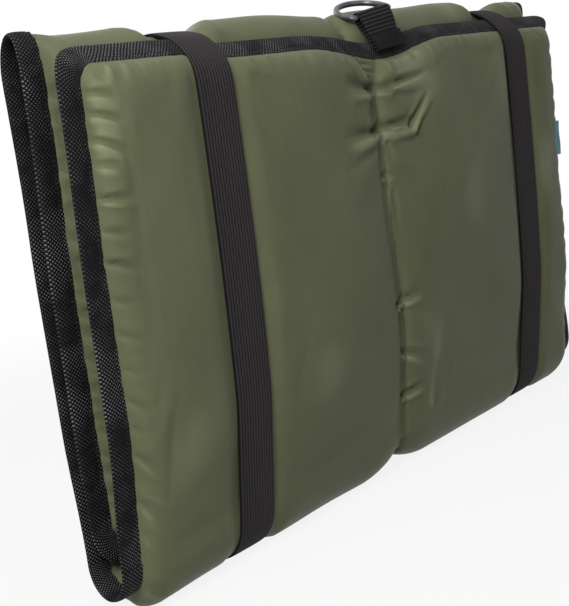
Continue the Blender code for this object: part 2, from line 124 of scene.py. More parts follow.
@dataclass(frozen=True)
class Ease:
    """A smooth change from 0 to 1 that begins at a start and takes a reach."""

    start: float
    reach: float

    def done(self, value: Number) -> Array:
        """Share of the change that is done at a value."""
        return smooth_step((value - self.start) / self.reach)

    def left(self, value: Number) -> Array:
        """Share of the change that is left at a value."""
        return 1 - self.done(value)


# The strip


class Stretch(Enum):
    """A stretch of the strip that moves as one; the value is the CAD body's name."""

    FRONT = "front_panel"
    LOWER = "bottom_fold"
    BACK = "back_panel"
    UPPER = "top_fold"
    INNER = "inner_panel"


@dataclass(frozen=True)
class Strip:
    """Sizes of the padded strip, its cushions, and the curve that folds it."""

    # Outline and folded stack
    half_width: float = 0.300
    panel_height: float = 0.295
    front_rise: float = 0.015
    inner_tuck: float = 0.006
    pitch: float = 0.024
    core_half: float = 0.0117
    bottom_z: float = 0.0352
    squeeze_share: float = 0.76
    squeeze_height: float = 0.085
    left_corner: float = 0.029
    right_corner: float = 0.019

    # Sides drawn in, at half a panel's height and at the upper left
    waist: float = 0.001
    waist_power: int = 8
    drawn_in: float = 0.003
    drawn_side: Ease = Ease(0.24, 0.05)
    drawn_height: Ease = Ease(0.20, 0.12)

    # Seams and cushions
    seam_half: float = 0.00095
    side_shoulder: float = 0.018
    crown: float = 0.0035
    fold_crown: float = 0.0035
    fold_relief: float = 0.0017
    low_crown: float = 0.0025
    low_crown_side: Ease = Ease(0.17, 0.06)

    # The sewn channel
    channel_shoulder: float = 0.0125
    channel_half: float = 0.0048
    channel_offset: float = -0.0045
    channel_return: Ease = Ease(0.11, 0.10)
    channel_flare: float = 0.009
    flare_reach: float = 0.026
    low_channel: float = 0.026
    low_channel_reach: float = 0.035
    channel_deep: float = 0.80
    channel_shallow: float = 0.34
    shallow_reach: float = 0.02
    low_notch: float = 0.0032
    notch_middle: float = -0.004
    notch_reach: float = 0.045

    # Binding, and how its seams stand off the middle surface
    tape_width: float = 0.016
    tape_outer: float = 0.00225
    front_shift: float = -0.001
    back_shift: float = -0.004
    inner_shift: float = -0.006
    back_tuck_shift: float = 0.0035
    tuck_reach: float = 0.22
    loop_opening: float = 0.003
    loop_reach: float = 0.09
    left_peak: float = 0.016
    right_peak: float = 0.015

    # The front panel's top edge
    edge_dip: float = 0.012
    dip_centre: float = 0.020
    dip_reach: float = 0.090
    corner_lift: float = 0.0048
    lift_side: Ease = Ease(0.145, 0.060)
    wave_fade: float = 0.100
    lean_share: float = 0.48
    dip_lean: float = 0.28

    # The front panel's right-hand edge, and the upper fold's right end
    right_lean: float = 0.66
    right_lean_top: Ease = Ease(0.004, 0.028)
    right_lean_foot: Ease = Ease(-0.07, 0.07)
    right_nod: float = 0.006
    nod_side: Ease = Ease(0.235, 0.05)

    # Straps, and what they do to the cushions
    left_strap: float = -0.179
    right_strap: float = 0.209
    left_slant: float = 0.018
    right_slant: float = 0.032
    strap_half: float = 0.017
    strap_dent: float = 0.0052
    strap_ramp: float = 0.012
    strap_margin: float = 0.0015
    top_dent: float = 0.0034
    top_ramp: float = 0.012
    strap_pull: float = 0.013
    pull_reach: float = 0.036
    pull_height: Ease = Ease(0.006, 0.024)

    # Tongues of the panels inside the folds
    tongue: float = 0.009
    tongue_share: float = 0.36
    low_tape_tongue: float = 0.023
    top_tape_tongue: float = 0.0215

    @property
    def front_crease(self) -> float:
        """Where the front panel meets the lower fold."""
        return self.panel_height + self.front_rise

    @property
    def back_crease(self) -> float:
        """Where the lower fold meets the back panel."""
        return self.front_crease + math.pi * self.pitch

    @property
    def top_crease(self) -> float:
        """Where the back panel meets the upper fold."""
        return self.back_crease + self.panel_height

    @property
    def inner_crease(self) -> float:
        """Where the upper fold meets the inner panel."""
        return self.top_crease + math.pi * self.pitch / 2

    @property
    def length(self) -> float:
        """Length of the whole strip."""
        return self.inner_crease + self.panel_height + self.inner_tuck

    @property
    def top_z(self) -> float:
        """Height of the two upper creases."""
        return self.bottom_z + self.panel_height

    @property
    def side_seam(self) -> float:
        """Where the binding's inner edge is stitched down."""
        return self.half_width - self.tape_width

    def span(self, stretch: Stretch) -> tuple[float, float]:
        """Lengths along the strip at which a stretch starts and ends."""
        return {Stretch.FRONT: (0.0, self.front_crease),
                Stretch.LOWER: (self.front_crease, self.back_crease),
                Stretch.BACK: (self.back_crease, self.top_crease),
                Stretch.UPPER: (self.top_crease, self.inner_crease),
                Stretch.INNER: (self.inner_crease, self.length)}[stretch]

    def over(self, stretch: Stretch, s: Number) -> Array:
        """0 outside a stretch, rising to 1 in its middle."""
        return arch(s, *self.span(stretch))

    def strap_middle(self, x: Array, z: Array) -> Array:
        """Middle, at a height, of the strap on this side of the channel; the straps slant a little."""
        above = z - self.bottom_z - self.panel_height / 2
        return np.where(x < 0, self.left_strap + self.left_slant * above,
                        self.right_strap + self.right_slant * above)

    def nearest_strap(self, x: Array, s: Array) -> Array:
        """Middle of the nearest strap where it crosses a length of the strip."""
        z = np.interp(s, [self.tape_width, self.front_crease, self.back_crease, self.top_crease],
                      [self.top_z, self.bottom_z, self.bottom_z, self.top_z])
        return self.strap_middle(x, z)

    def strap_share(self, x: Array, s: Array) -> Array:
        """1 where the cushions are under a strap, running out to 0 beside it."""
        reach = np.abs(x - self.nearest_strap(x, s)) - self.strap_half - self.strap_margin
        ramp = self.strap_ramp + self.top_ramp * self.over(Stretch.UPPER, s) ** 2
        return 1 - smooth_step(reach / ramp)

    def end_rise(self, s: Array) -> Array:
        """0 at the seams of the two free ends, 1 away from them."""
        near = round_rise(s - self.tape_width, self.side_shoulder)
        return near * round_rise(self.length - self.tape_width - s, self.side_shoulder)

    def side_rise(self, x: Array) -> Array:
        """0 at the seams along both sides, 1 away from them."""
        return round_rise(self.side_seam - np.abs(x), self.side_shoulder)

    def channel_depth(self, s: Array) -> Array:
        """Depth of the sewn channel as a share of a cushion's height, least half-way up a panel."""
        more = self.shallow_reach
        shallow = arch(s, 0.0, self.front_crease + more)
        shallow = shallow + arch(s, self.back_crease - more, self.top_crease + more)
        shallow = shallow + arch(s, self.inner_crease - more, self.length)
        return self.channel_deep - self.channel_shallow * shallow

    def fullness(self, x: Array, s: Array) -> Array:
        """How full the cushions are; the channel is wider at its top and at the lower fold.

        Args:
            x: distance across.
            s: distance along.

        Returns:
            0 along every seam, 1 on the flat of a cushion.
        """
        low = arch(s, self.front_crease - self.low_channel_reach,
                   self.back_crease + self.low_channel_reach)
        centre = self.channel_offset * self.channel_return.left(s)
        half = self.channel_half + self.channel_flare * (
            1 - smooth_step((s - self.tape_width) / self.flare_reach))
        beside = np.maximum(np.abs(x - centre) - half, 0.0)
        valley = 1 - round_rise(beside, self.channel_shoulder + self.low_channel * low)
        return self.side_rise(x) * (1 - self.channel_depth(s) * valley) * self.end_rise(s)

    def edge_shift(self, s: Array, side: Array) -> Array:
        """Height of the seams off the middle surface.

        Args:
            s: distance along the strip.
            side: negative on the left, positive on the right.

        Returns:
            The heights.
        """
        lower = smooth_step((s - self.front_crease) / (self.back_crease - self.front_crease))
        upper = smooth_step((s - self.top_crease) / (self.inner_crease - self.top_crease))
        shift = self.front_shift + (self.back_shift - self.front_shift) * lower
        shift = shift - self.back_tuck_shift * lower * (
            1 - smooth_step((s - self.back_crease) / self.tuck_reach))
        near = smooth_step((s - self.top_crease + self.loop_reach) / self.loop_reach)
        opening = np.where(np.asarray(side) < 0, self.loop_opening, 0.0) * near * (1 - upper)
        return shift + (self.inner_shift - self.back_shift) * upper + opening

    def seam_peak(self, x: Array, s: Array) -> Array:
        """How far the side seams stand up over the upper fold, in a narrow loop."""
        peak = np.where(x < 0, self.left_peak, self.right_peak)
        return peak * (1 - self.side_rise(x)) * self.over(Stretch.UPPER, s)

    def seam_shift(self, x: Array, s: Array) -> Array:
        """The seams' shift, gone in the middle, with the notch that the channel cuts below."""
        shift = self.edge_shift(s, x) * np.maximum(1 - self.side_rise(x), 1 - self.end_rise(s))
        notch = self.low_notch * (
            1 - smooth_step(np.abs(x - self.notch_middle) / self.notch_reach))
        return shift - notch * self.over(Stretch.LOWER, s)

    def outer_height(self, x: Array, s: Array) -> Array:
        """Height of the outer cloth, crowned on each cushion and pressed in under the straps.

        Args:
            x: distance across.
            s: distance along.

        Returns:
            The heights.
        """
        full, pressed = self.fullness(x, s), self.strap_share(x, s)
        upper = self.over(Stretch.UPPER, s)
        level_x = x + (self.nearest_strap(x, s) - x) * pressed
        u = np.minimum(np.abs(level_x) / self.side_seam, 1.0)
        crest = self.crown * (arch(s, self.tape_width, self.front_crease)
                              + self.over(Stretch.BACK, s))
        fold_crown = self.fold_crown - self.low_crown * self.low_crown_side.done(-x)
        crest = crest + fold_crown * upper ** 2
        firm = self.strap_dent * (1 - 0.5 * self.over(Stretch.LOWER, s)) + self.top_dent * upper
        dent = np.where(s > self.inner_crease, 0.0, firm * pressed)
        flat = self.seam_half + (self.core_half - self.seam_half) * full
        return self.seam_shift(x, s) + flat + (crest * 4 * u * (1 - u) - dent) * full

    def inner_height(self, x: Array, s: Array) -> Array:
        """Height of the lining, below the middle surface; it lies closer to it at the upper fold."""
        reach = np.maximum(np.maximum(self.top_crease - s, s - self.inner_crease), 0.0)
        relief = self.fold_relief * (1 - smooth_step(reach / self.side_shoulder))
        flat = self.seam_half + (self.core_half - relief - self.seam_half) * self.fullness(x, s)
        return self.seam_shift(x, s) - flat

    def side_view(self, s: Array, n: Array) -> tuple[Array, Array]:
        """Fold the strip round its two folds, and squeeze it at the lower one.

        Args:
            s: distance along the strip.
            n: height off the middle surface.

        Returns:
            The y and z of the points.
        """
        lower = (s - self.front_crease) / self.pitch
        radius = self.pitch / 2
        upper = (s - self.top_crease) / radius
        where = [s <= self.front_crease, s <= self.back_crease, s <= self.top_crease,
                 s <= self.inner_crease]
        y = np.select(where, [-self.pitch - n, -(self.pitch + n) * np.cos(lower), self.pitch + n,
                              radius + (radius + n) * np.cos(upper)], -n)
        z = np.select(where, [self.bottom_z + self.front_crease - s,
                              self.bottom_z - (self.pitch + n) * np.sin(lower),
                              self.bottom_z + s - self.back_crease,
                              self.top_z + (radius + n) * np.sin(upper)],
                      self.top_z - (s - self.inner_crease))
        squeeze = smooth_step((z - self.bottom_z) / self.squeeze_height)
        return y * (self.squeeze_share + (1 - self.squeeze_share) * squeeze), np.maximum(z, 0.0)

    def round_corner(self, x: Array, end: Array) -> tuple[Array, Array, Array, Array]:
        """Turn the square corners of the free ends into round ones.

        Args:
            x: distance across the mat.
            end: distance from the nearer free end.

        Returns:
            The new x and end; how far each point lies outside the tape's inner edge; and 1 where
            that edge runs across the mat, 0 where it runs along it.
        """
        radius = np.where(x < 0, self.left_corner, self.right_corner)
        a = (np.abs(x) - (self.half_width - radius)) / radius
        b = (radius - end) / radius
        corner = (a > 0) & (b > 0)
        hypotenuse = np.maximum(np.hypot(a, b), 1e-9)
        reach = np.maximum(a, b) * radius
        moved_x = np.where(corner, np.sign(x) * (self.half_width - radius
                                                 + reach * a / hypotenuse), x)
        moved_end = np.where(corner, radius - reach * b / hypotenuse, end)
        depth = np.where(corner, reach - (radius - self.tape_width), self.tape_width - end)
        facing = np.where(corner, (b / hypotenuse) ** 2, np.where(b > 0, 1.0, 0.0))
        return moved_x, moved_end, np.maximum(depth, 0.0), facing

    def dip(self, x: Array) -> Array:
        """1 where the front panel's top edge sags most, running out to 0 on both sides."""
        return 1 - smooth_step(np.abs(x - self.dip_centre) / self.dip_reach)

    def wave(self, x: Array, s: Array) -> Array:
        """How far the front panel's top edge stands up at its corner and sags at the channel."""
        lift = self.corner_lift * self.lift_side.done(-x)
        fade = 1 - smooth_step((s - self.tape_width) / self.wave_fade)
        return (lift - self.edge_dip * self.dip(x)) * fade

    def lean(self, x: Array, facing: Array) -> Array:
        """Angle by which the top binding leans back, less of it in the dip."""
        full = math.asin(self.lean_share * self.pitch / self.tape_width)
        return full * (1 - self.dip_lean * np.minimum(1.0, 2 * self.dip(x))) * facing

    def turn_right_edge(self, x: Array, s: Array, moved_x: Array,
                        n: Array) -> tuple[Array, Array]:
        """Lean the right-hand binding of the front panel back about its seam.

        Args:
            x: distance across.
            s: distance along.
            moved_x: the same distance after the corners are rounded.
            n: height off the middle surface.

        Returns:
            The new distance across and the new height.
        """
        angle = self.right_lean * self.right_lean_top.done(s) * self.right_lean_foot.left(
            s - self.front_crease)
        turned = np.where((s < self.front_crease) & (x > self.side_seam), angle, 0.0)
        out = np.maximum(moved_x - self.side_seam, 0.0)
        off = n - self.front_shift
        across = np.where(turned > 0, out * (np.cos(turned) - 1) + off * np.sin(turned), 0.0)
        back = np.where(turned > 0, off * (np.cos(turned) - 1) - out * np.sin(turned), 0.0)
        return moved_x + across, n + back

    def pulled_forward(self, x: Array, s: Array, z: Array) -> Array:
        """How far the upper fold comes forward, at its right end and under the straps."""
        nod = self.right_nod * self.nod_side.done(x) * self.over(Stretch.UPPER, s)
        beside = np.maximum(np.abs(x - self.nearest_strap(x, s)) - self.strap_half, 0.0)
        pull = self.strap_pull * (1 - smooth_step(beside / self.pull_reach))
        inside = (s > self.top_crease) & (s < self.inner_crease)
        return nod + np.where(inside, pull * self.pull_height.done(z - self.top_z), 0.0)

    def place(self, x: Number, s: Number, n: Number, leaning: bool = True) -> Array:
        """Take points of the flat strip to their places on the folded mat.

        Args:
            x: distance across the mat from its middle.
            s: distance along the strip.
            n: height off the middle surface.
            leaning: whether the right-hand edge of the front panel leans back.

        Returns:
            The points, with their three coordinates last.
        """
        x, s, n = (np.asarray(v, float) for v in np.broadcast_arrays(x, s, n))
        moved_x, moved_end, depth, facing = self.round_corner(x, np.minimum(s, self.length - s))
        moved_s = np.where(s < self.length / 2, moved_end, self.length - moved_end)
        front = s < self.front_crease
        slant = np.where(front & (depth > 0), self.lean(x, facing), 0.0)
        shorter = depth * (1 - np.cos(slant)) - n * np.sin(slant)
        moved_s = moved_s + np.where(front, shorter - self.wave(x, moved_s), 0.0)
        n = np.where(front, n * np.cos(slant) - depth * np.sin(slant), n)
        if leaning:
            moved_x, n = self.turn_right_edge(x, s, moved_x, n)
        y, z = self.side_view(moved_s, n)
        z = z + self.seam_peak(x, s)
        y = y - self.pulled_forward(x, s, z)
        waist = self.waist * (arch(s, self.tape_width, self.front_crease)
                              + self.over(Stretch.BACK, s))
        moved_x = moved_x + self.drawn_in * self.drawn_side.done(-x) * self.drawn_height.done(z)
        moved_x = moved_x - np.sign(x) * waist * (np.abs(x) / self.half_width) ** self.waist_power
        return np.stack([moved_x, y, z], -1)


# Creases pulled into the cloth


@dataclass(frozen=True)
class Crease:
    """A line pulled into the cloth, deepest where it starts; a negative depth makes a ridge."""

    start: tuple[float, float]
    end: tuple[float, float]
    depth: float
    width: float

    def relief(self, x: Array, s: Array) -> Array:
        """Height that the crease adds at points of the strip.

        Args:
            x: distance across.
            s: distance along.

        Returns:
            The heights: a valley, with a high bank on one side and a low one on the other.
        """
        along = np.array(self.end) - np.array(self.start)
        length = math.hypot(*along)
        along = along / length
        t = ((x - self.start[0]) * along[0] + (s - self.start[1]) * along[1]) / length
        d = (s - self.start[1]) * along[0] - (x - self.start[0]) * along[1]
        d = d * math.copysign(1.0, along[0])
        width = self.width * (1.15 + 0.9 * np.clip(t, 0, 1))
        behind = np.exp(-(np.minimum(t, 0.0) * length / (0.6 * self.width)) ** 2)
        fade = np.where(t < 0, behind, np.clip(1 - t, 0, 1) ** 0.8)
        high_bank = 0.62 * np.exp(-((d - 1.8 * width) / width) ** 2)
        low_bank = 0.22 * np.exp(-((d + 2.0 * width) / width) ** 2)
        return self.depth * fade * (high_bank + low_bank - np.exp(-(d / width) ** 2))


@dataclass
class Creases:
    """All creases of one face of one stretch, with a slow unevenness of the padding."""

    seed: int
    lines: list[Crease] = field(default_factory=list)
    swell: float = 0.0007

    def __post_init__(self) -> None:
        """Draw the slow waves once, so that every call gives the same face."""
        rng = np.random.default_rng(self.seed)
        self.waves = [(rng.uniform(18, 60), rng.uniform(18, 60), rng.uniform(0, TURN),
                       rng.uniform(0, TURN)) for _ in range(7)]

    def relief(self, x: Array, s: Array) -> Array:
        """Height that creases and unevenness add at points of the strip.

        Args:
            x: distance across.
            s: distance along.

        Returns:
            The heights; where creases cross, they don't add up beyond the deepest one.
        """
        slow = np.zeros(np.broadcast(x, s).shape)
        for kx, ks, px, ps in self.waves:
            slow = slow + self.swell * np.sin(kx * x + px) * np.sin(ks * s + ps) / 2
        low, high = np.zeros_like(slow), np.zeros_like(slow)
        for line in self.lines:
            relief = line.relief(x, s)
            low = low + np.maximum(-relief, 0.0) ** 4
            high = high + np.maximum(relief, 0.0) ** 3
        return slow + high ** (1 / 3) - low ** 0.25


@dataclass(frozen=True)
class Gathers:
    """How the stitches of one stretch gather its cloth.

    depth is the middle depth of a crease, slants the lengthwise steps per step inwards at the
    stretch's start and end, and bold is 1 for broad creases close together and 0 for fine ones.
    """

    depth: float = 0.0032
    slants: tuple[float, float] = (0.6, 0.9)
    bold: float = 0.0


GATHERS = {
    Stretch.FRONT: Gathers(slants=(0.15, 1.15)),
    Stretch.LOWER: Gathers(depth=0.0018),
    Stretch.BACK: Gathers(),
    Stretch.UPPER: Gathers(depth=0.0022),
    Stretch.INNER: Gathers(depth=0.0062, slants=(-1.3, -0.9), bold=1.0),
}


def seam_puckers(strip: Strip, seed: int, start: float, end: float, sides: Sequence[int],
                 gathers: Gathers, depth: float) -> list[Crease]:
    """Short creases that run in from the side seams, as stitching gathers the cloth.

    Args:
        strip: the strip that the cloth covers.
        seed: start of the random draws.
        start: first length along the strip.
        end: last length along the strip.
        sides: -1 for the left seam, 1 for the right one.
        gathers: slants and boldness of the creases.
        depth: middle depth of a crease.

    Returns:
        The creases.
    """
    rng = np.random.default_rng(seed)
    first, last = gathers.slants
    found = []
    for side in sides:
        s = start + rng.uniform(0.004, 0.014)
        while s < end:
            share = (s - start) / (end - start)
            slant = first + (last - first) * share + rng.normal(0, 0.22)
            length = rng.uniform(0.010, 0.026)
            x = side * (strip.side_seam - 0.0005)
            run = length / math.hypot(1, slant)
            found.append(Crease((x, s), (x - side * run, s + slant * run),
                                depth * rng.uniform(0.6, 1.25),
                                rng.uniform(0.0016, 0.0028) * (1 + 0.35 * gathers.bold)))
            if rng.uniform() < 0.4:
                found.append(Crease((x - side * 0.004, s + 0.006),
                                    (x - side * (0.004 + run * 0.9), s + 0.006 + slant * run * 0.5),
                                    -depth * 0.5, rng.uniform(0.0014, 0.0022)))
            s += rng.uniform(0.012, 0.027) * (1 - 0.40 * gathers.bold)
    return found


def channel_tucks(seed: int, start: float, end: float, depth: float) -> list[Crease]:
    """Short creases across the sewn channel, where its stitches gather the cloth.

    Args:
        seed: start of the random draws.
        start: first length along the strip.
        end: last length along the strip.
        depth: middle depth of a crease.

    Returns:
        The creases.
    """
    rng = np.random.default_rng(seed)
    found = []
    s = start + rng.uniform(0.01, 0.03)
    while s < end:
        for side in (-1, 1):
            length = rng.uniform(0.010, 0.024)
            found.append(Crease((side * 0.001, s), (side * length, s + rng.normal(0, 0.004)),
                                depth * rng.uniform(0.5, 1.2), rng.uniform(0.0014, 0.0024)))
        s += rng.uniform(0.024, 0.046)
    return found


def end_puckers(seed: int, end: float, inward: int, depth: float,
                reach: float = 0.27) -> list[Crease]:
    """Short creases that run in from the seam of a free end.

    Args:
        seed: start of the random draws.
        end: length along the strip at which the seam lies.
        inward: 1 or -1, the way along the strip that leads away from the seam.
        depth: greatest depth of a crease.
        reach: distance from the channel to the last crease on each side.

    Returns:
        The creases.
    """
    rng = np.random.default_rng(seed)
    found = []
    x = -reach
    while x < reach:
        length = rng.uniform(0.007, 0.018)
        found.append(Crease((x, end), (x + rng.normal(0, 0.003), end + inward * length),
                            depth * rng.uniform(0.4, 1.0), rng.uniform(0.0014, 0.0024)))
        x += rng.uniform(0.011, 0.030)
    return found


# Creases at the front panel's channel, from its top to the lower fold
FRONT_CHANNEL = [
    Crease((-0.0147, 0.0410), (-0.0480, 0.0360), 0.0044, 0.0034),
    Crease((-0.0150, 0.0380), (-0.0120, 0.0170), 0.0034, 0.0024),
    Crease((-0.0190, 0.0360), (-0.0290, 0.0150), -0.0028, 0.0028),
    Crease((-0.0147, 0.0410), (0.0300, 0.0340), 0.0044, 0.0025),
    Crease((0.0200, 0.0348), (0.0680, 0.0325), 0.0030, 0.0024),
    Crease((0.0140, 0.0400), (0.0640, 0.0368), -0.0024, 0.0028),
    Crease((-0.0147, 0.0410), (-0.0100, 0.0620), 0.0022, 0.0030),
    Crease((-0.0145, 0.0760), (-0.0560, 0.0790), 0.0042, 0.0032),
    Crease((-0.0200, 0.0835), (-0.0660, 0.0890), -0.0026, 0.0036),
    Crease((-0.0145, 0.0760), (0.0200, 0.0690), 0.0050, 0.0025),
    Crease((0.0080, 0.0705), (0.0420, 0.0695), 0.0034, 0.0022),
    Crease((0.0340, 0.0812), (-0.0160, 0.0830), -0.0030, 0.0030),
    Crease((0.0323, 0.0810), (0.0600, 0.0490), -0.0034, 0.0022),
    Crease((0.0295, 0.0765), (0.0560, 0.0485), 0.0040, 0.0020),
    Crease((-0.0145, 0.0760), (-0.0160, 0.0560), 0.0022, 0.0030),
    Crease((-0.0130, 0.0205), (0.0170, 0.0215), 0.0016, 0.0012),
    Crease((-0.0140, 0.0262), (0.0150, 0.0268), 0.0018, 0.0013),
    Crease((-0.0120, 0.0320), (0.0080, 0.0305), 0.0015, 0.0012),
    Crease((-0.0107, 0.0840), (-0.0102, 0.1120), 0.0022, 0.0016),
    Crease((0.0030, 0.0860), (0.0045, 0.1120), 0.0022, 0.0014),
    Crease((-0.0110, 0.1125), (0.0080, 0.1128), 0.0030, 0.0013),
    Crease((0.0035, 0.1250), (0.0048, 0.1900), 0.0018, 0.0016),
    Crease((0.0340, 0.3020), (0.0440, 0.2320), -0.0018, 0.0045),
    Crease((0.0520, 0.3020), (0.0500, 0.2450), -0.0012, 0.0045),
    Crease((-0.010, 0.211), (0.024, 0.205), 0.0042, 0.0018),
    Crease((-0.004, 0.2140), (0.026, 0.2088), -0.0024, 0.0018),
    Crease((-0.005, 0.247), (0.026, 0.258), 0.0038, 0.0018),
    Crease((0.000, 0.285), (0.028, 0.278), 0.0044, 0.0019),
    Crease((0.002, 0.289), (0.028, 0.283), -0.0024, 0.0018),
    Crease((-0.008, 0.313), (0.018, 0.319), 0.0032, 0.0018),
]

# Creases at the front panel's left seam: place along the strip, length, slant and depth
FRONT_LEFT_SEAM = [(0.032, 0.016, 0.15, 0.0034), (0.043, 0.020, 0.30, 0.0042),
                   (0.057, 0.022, 0.45, 0.0046), (0.070, 0.014, 0.10, 0.0034),
                   (0.088, 0.024, 0.12, 0.0050), (0.106, 0.016, 0.30, 0.0040),
                   (0.124, 0.021, 0.38, 0.0050), (0.146, 0.013, 0.40, 0.0034),
                   (0.166, 0.018, 0.55, 0.0036), (0.187, 0.013, 0.70, 0.0034),
                   (0.206, 0.020, 0.95, 0.0044), (0.223, 0.012, 1.00, 0.0034),
                   (0.240, 0.024, 1.10, 0.0050), (0.256, 0.012, 1.10, 0.0032),
                   (0.270, 0.020, 1.15, 0.0046), (0.289, 0.014, 1.20, 0.0036),
                   (0.304, 0.012, 1.20, 0.0034)]
LEFT_SEAM_LENGTH, LEFT_SEAM_DEPTH = 0.85, 0.6  # the shares of these lengths and depths
LEFT_SEAM_INSET, LEFT_SEAM_WIDTH = 0.0015, 0.0015


def left_seam_creases(strip: Strip) -> list[Crease]:
    """Creases that run in from the left seam of the front panel, each with its own slant.

    Args:
        strip: the strip that the cloth covers.

    Returns:
        The creases.
    """
    found = []
    for s, length, slant, depth in FRONT_LEFT_SEAM:
        run = LEFT_SEAM_LENGTH * length / math.hypot(1, slant)
        start = (-strip.side_seam + LEFT_SEAM_INSET, s)
        found.append(Crease(start, (start[0] + run, s + slant * run), LEFT_SEAM_DEPTH * depth,
                            LEFT_SEAM_WIDTH))
    return found


def make_creases(strip: Strip, stretch: Stretch, face: int, margin: float = 0.012) -> Creases:
    """Creases of one face of a stretch.

    Args:
        strip: the strip that the face belongs to.
        stretch: the stretch.
        face: 1 for the outer cloth, -1 for the lining.
        margin: how far the side seams' creases stay off the seam of a free end.

    Returns:
        The creases; their random draws depend on the stretch and the face alone.
    """
    seed = 100 * list(Stretch).index(stretch) + (7 if face < 0 else 0)
    start, end = strip.span(stretch)
    if stretch is Stretch.FRONT:
        start = strip.tape_width + margin
    if stretch is Stretch.INNER:
        end = strip.length - strip.tape_width - margin
    gathers = GATHERS[stretch]
    if stretch is Stretch.FRONT and face > 0:
        lines = seam_puckers(strip, seed + 1, start, end, (1,), gathers, 0.4 * gathers.depth)
        lines += FRONT_CHANNEL + left_seam_creases(strip)
    else:
        lines = seam_puckers(strip, seed + 1, start, end, (-1, 1), gathers, gathers.depth)
        lines += channel_tucks(seed + 2, start, end, gathers.depth)
    if stretch is Stretch.FRONT:
        lines += end_puckers(seed + 3, strip.tape_width, 1, 0.0022)
    if stretch is Stretch.INNER:
        lines += end_puckers(seed + 3, strip.length - strip.tape_width, -1, 0.0014)
    return Creases(seed, lines)


# Shader maths


class Wire:
    """A socket of a material; sums and products of wires add Math nodes."""

    def __init__(self, graph: "Graph", socket: bpy.types.NodeSocket) -> None:
        """Wrap one output socket."""
        self.graph = graph
        self.socket = socket

    def __add__(self, other: "Wire | float") -> "Wire":
        """Sum."""
        return self.graph.maths("ADD", self, other)

    def __radd__(self, other: float) -> "Wire":
        """Sum with a number first."""
        return self.graph.maths("ADD", other, self)

    def __sub__(self, other: "Wire | float") -> "Wire":
        """Difference."""
        return self.graph.maths("SUBTRACT", self, other)

    def __rsub__(self, other: float) -> "Wire":
        """Difference from a number."""
        return self.graph.maths("SUBTRACT", other, self)

    def __mul__(self, other: "Wire | float") -> "Wire":
        """Product."""
        return self.graph.maths("MULTIPLY", self, other)

    def __rmul__(self, other: float) -> "Wire":
        """Product with a number first."""
        return self.graph.maths("MULTIPLY", other, self)

    def sine(self) -> "Wire":
        """Sine of an angle in radians."""
        return self.graph.maths("SINE", self)

    def size(self) -> "Wire":
        """Value without its sign."""
        return self.graph.maths("ABSOLUTE", self)

    def power(self, exponent: float) -> "Wire":
        """Value raised to a power."""
        return self.graph.maths("POWER", self, exponent)

    def above(self, low: float, high: float) -> "Wire":
        """0 below the low bound, 1 above the high one, smooth between."""
        return self.graph.node("ShaderNodeMapRange", {"interpolation_type": "SMOOTHSTEP"},
                               {"Value": self, "From Min": low, "From Max": high})


class Graph:
    """The node tree of one material, with a Principled shader."""

    def __init__(self, name: str) -> None:
        """Start a material that holds only its shader and output."""
        self.material = bpy.data.materials.new(name)
        self.material.use_nodes = True
        self.nodes = self.material.node_tree.nodes
        self.links = self.material.node_tree.links
        self.shader = self.nodes["Principled BSDF"]

    def feed(self, socket: bpy.types.NodeSocket, value: Any) -> None:
        """Link a wire to a socket, or set the socket's own value."""
        if isinstance(value, Wire):
            self.links.new(value.socket, socket)
        elif isinstance(value, tuple) and len(value) == 3 and socket.type == "RGBA":
            socket.default_value = (*value, 1.0)
        else:
            socket.default_value = value

    def node(self, kind: str, settings: dict[str, Any] | None = None,
             inputs: dict[Any, Any] | None = None, output: Any = 0) -> Wire:
        """Add one node.

        Args:
            kind: the node's type.
            settings: its properties.
            inputs: values or wires of its sockets.
            output: name or number of the socket to give back.

        Returns:
            The wire of that output.
        """
        made = self.nodes.new(kind)
        for key, value in (settings or {}).items():
            setattr(made, key, value)
        for key, value in (inputs or {}).items():
            self.feed(made.inputs[key], value)
        return Wire(self, made.outputs[output])

    def maths(self, operation: str, *values: Any) -> Wire:
        """A Math node."""
        return self.node("ShaderNodeMath", {"operation": operation}, dict(enumerate(values)))

    def mix(self, share: Any, first: Any, second: Any) -> Wire:
        """A mix of two colours."""
        return self.node("ShaderNodeMix", {"data_type": "RGBA"},
                         {0: share, 6: first, 7: second}, 2)

    def tint(self, colour: Any, factor: Any) -> Wire:
        """A colour made lighter or darker by a factor."""
        grey = self.node("ShaderNodeCombineColor", None,
                         {"Red": factor, "Green": factor, "Blue": factor})
        return self.node("ShaderNodeMix", {"data_type": "RGBA", "blend_type": "MULTIPLY"},
                         {0: 1.0, 6: colour, 7: grey}, 2)

    def across_along(self) -> tuple[Wire, Wire]:
        """Distances across and along a piece, from its own UV map, in millimetres."""
        uv = self.node("ShaderNodeUVMap", {"uv_map": UV_NAME})
        parts = self.node("ShaderNodeSeparateXYZ", None, {0: uv})
        along = Wire(self, parts.socket.node.outputs[1])
        return parts * 1000.0, along * 1000.0

    def noise(self, scale: float, detail: float = 3.0, vector: Wire | None = None) -> Wire:
        """Soft noise on object coordinates, from 0 to 1."""
        place = vector or self.node("ShaderNodeTexCoord", None, None, "Object")
        return self.node("ShaderNodeTexNoise", None,
                         {"Vector": place, "Scale": scale, "Detail": detail})

    def bump(self, height: Wire, distance: float, strength: float = 1.0,
             under: Wire | None = None) -> Wire:
        """A Bump node, on top of another one if that is given."""
        inputs: dict[str, Any] = {"Height": height, "Distance": distance, "Strength": strength}
        if under is not None:
            inputs["Normal"] = under
        return self.node("ShaderNodeBump", None, inputs)

    def finish(self, **sockets: Any) -> Material:
        """Feed the shader's sockets, named with _ for a space."""
        for name, value in sockets.items():
            self.feed(self.shader.inputs[name.replace("_", " ")], value)
        return self.material


# Materials


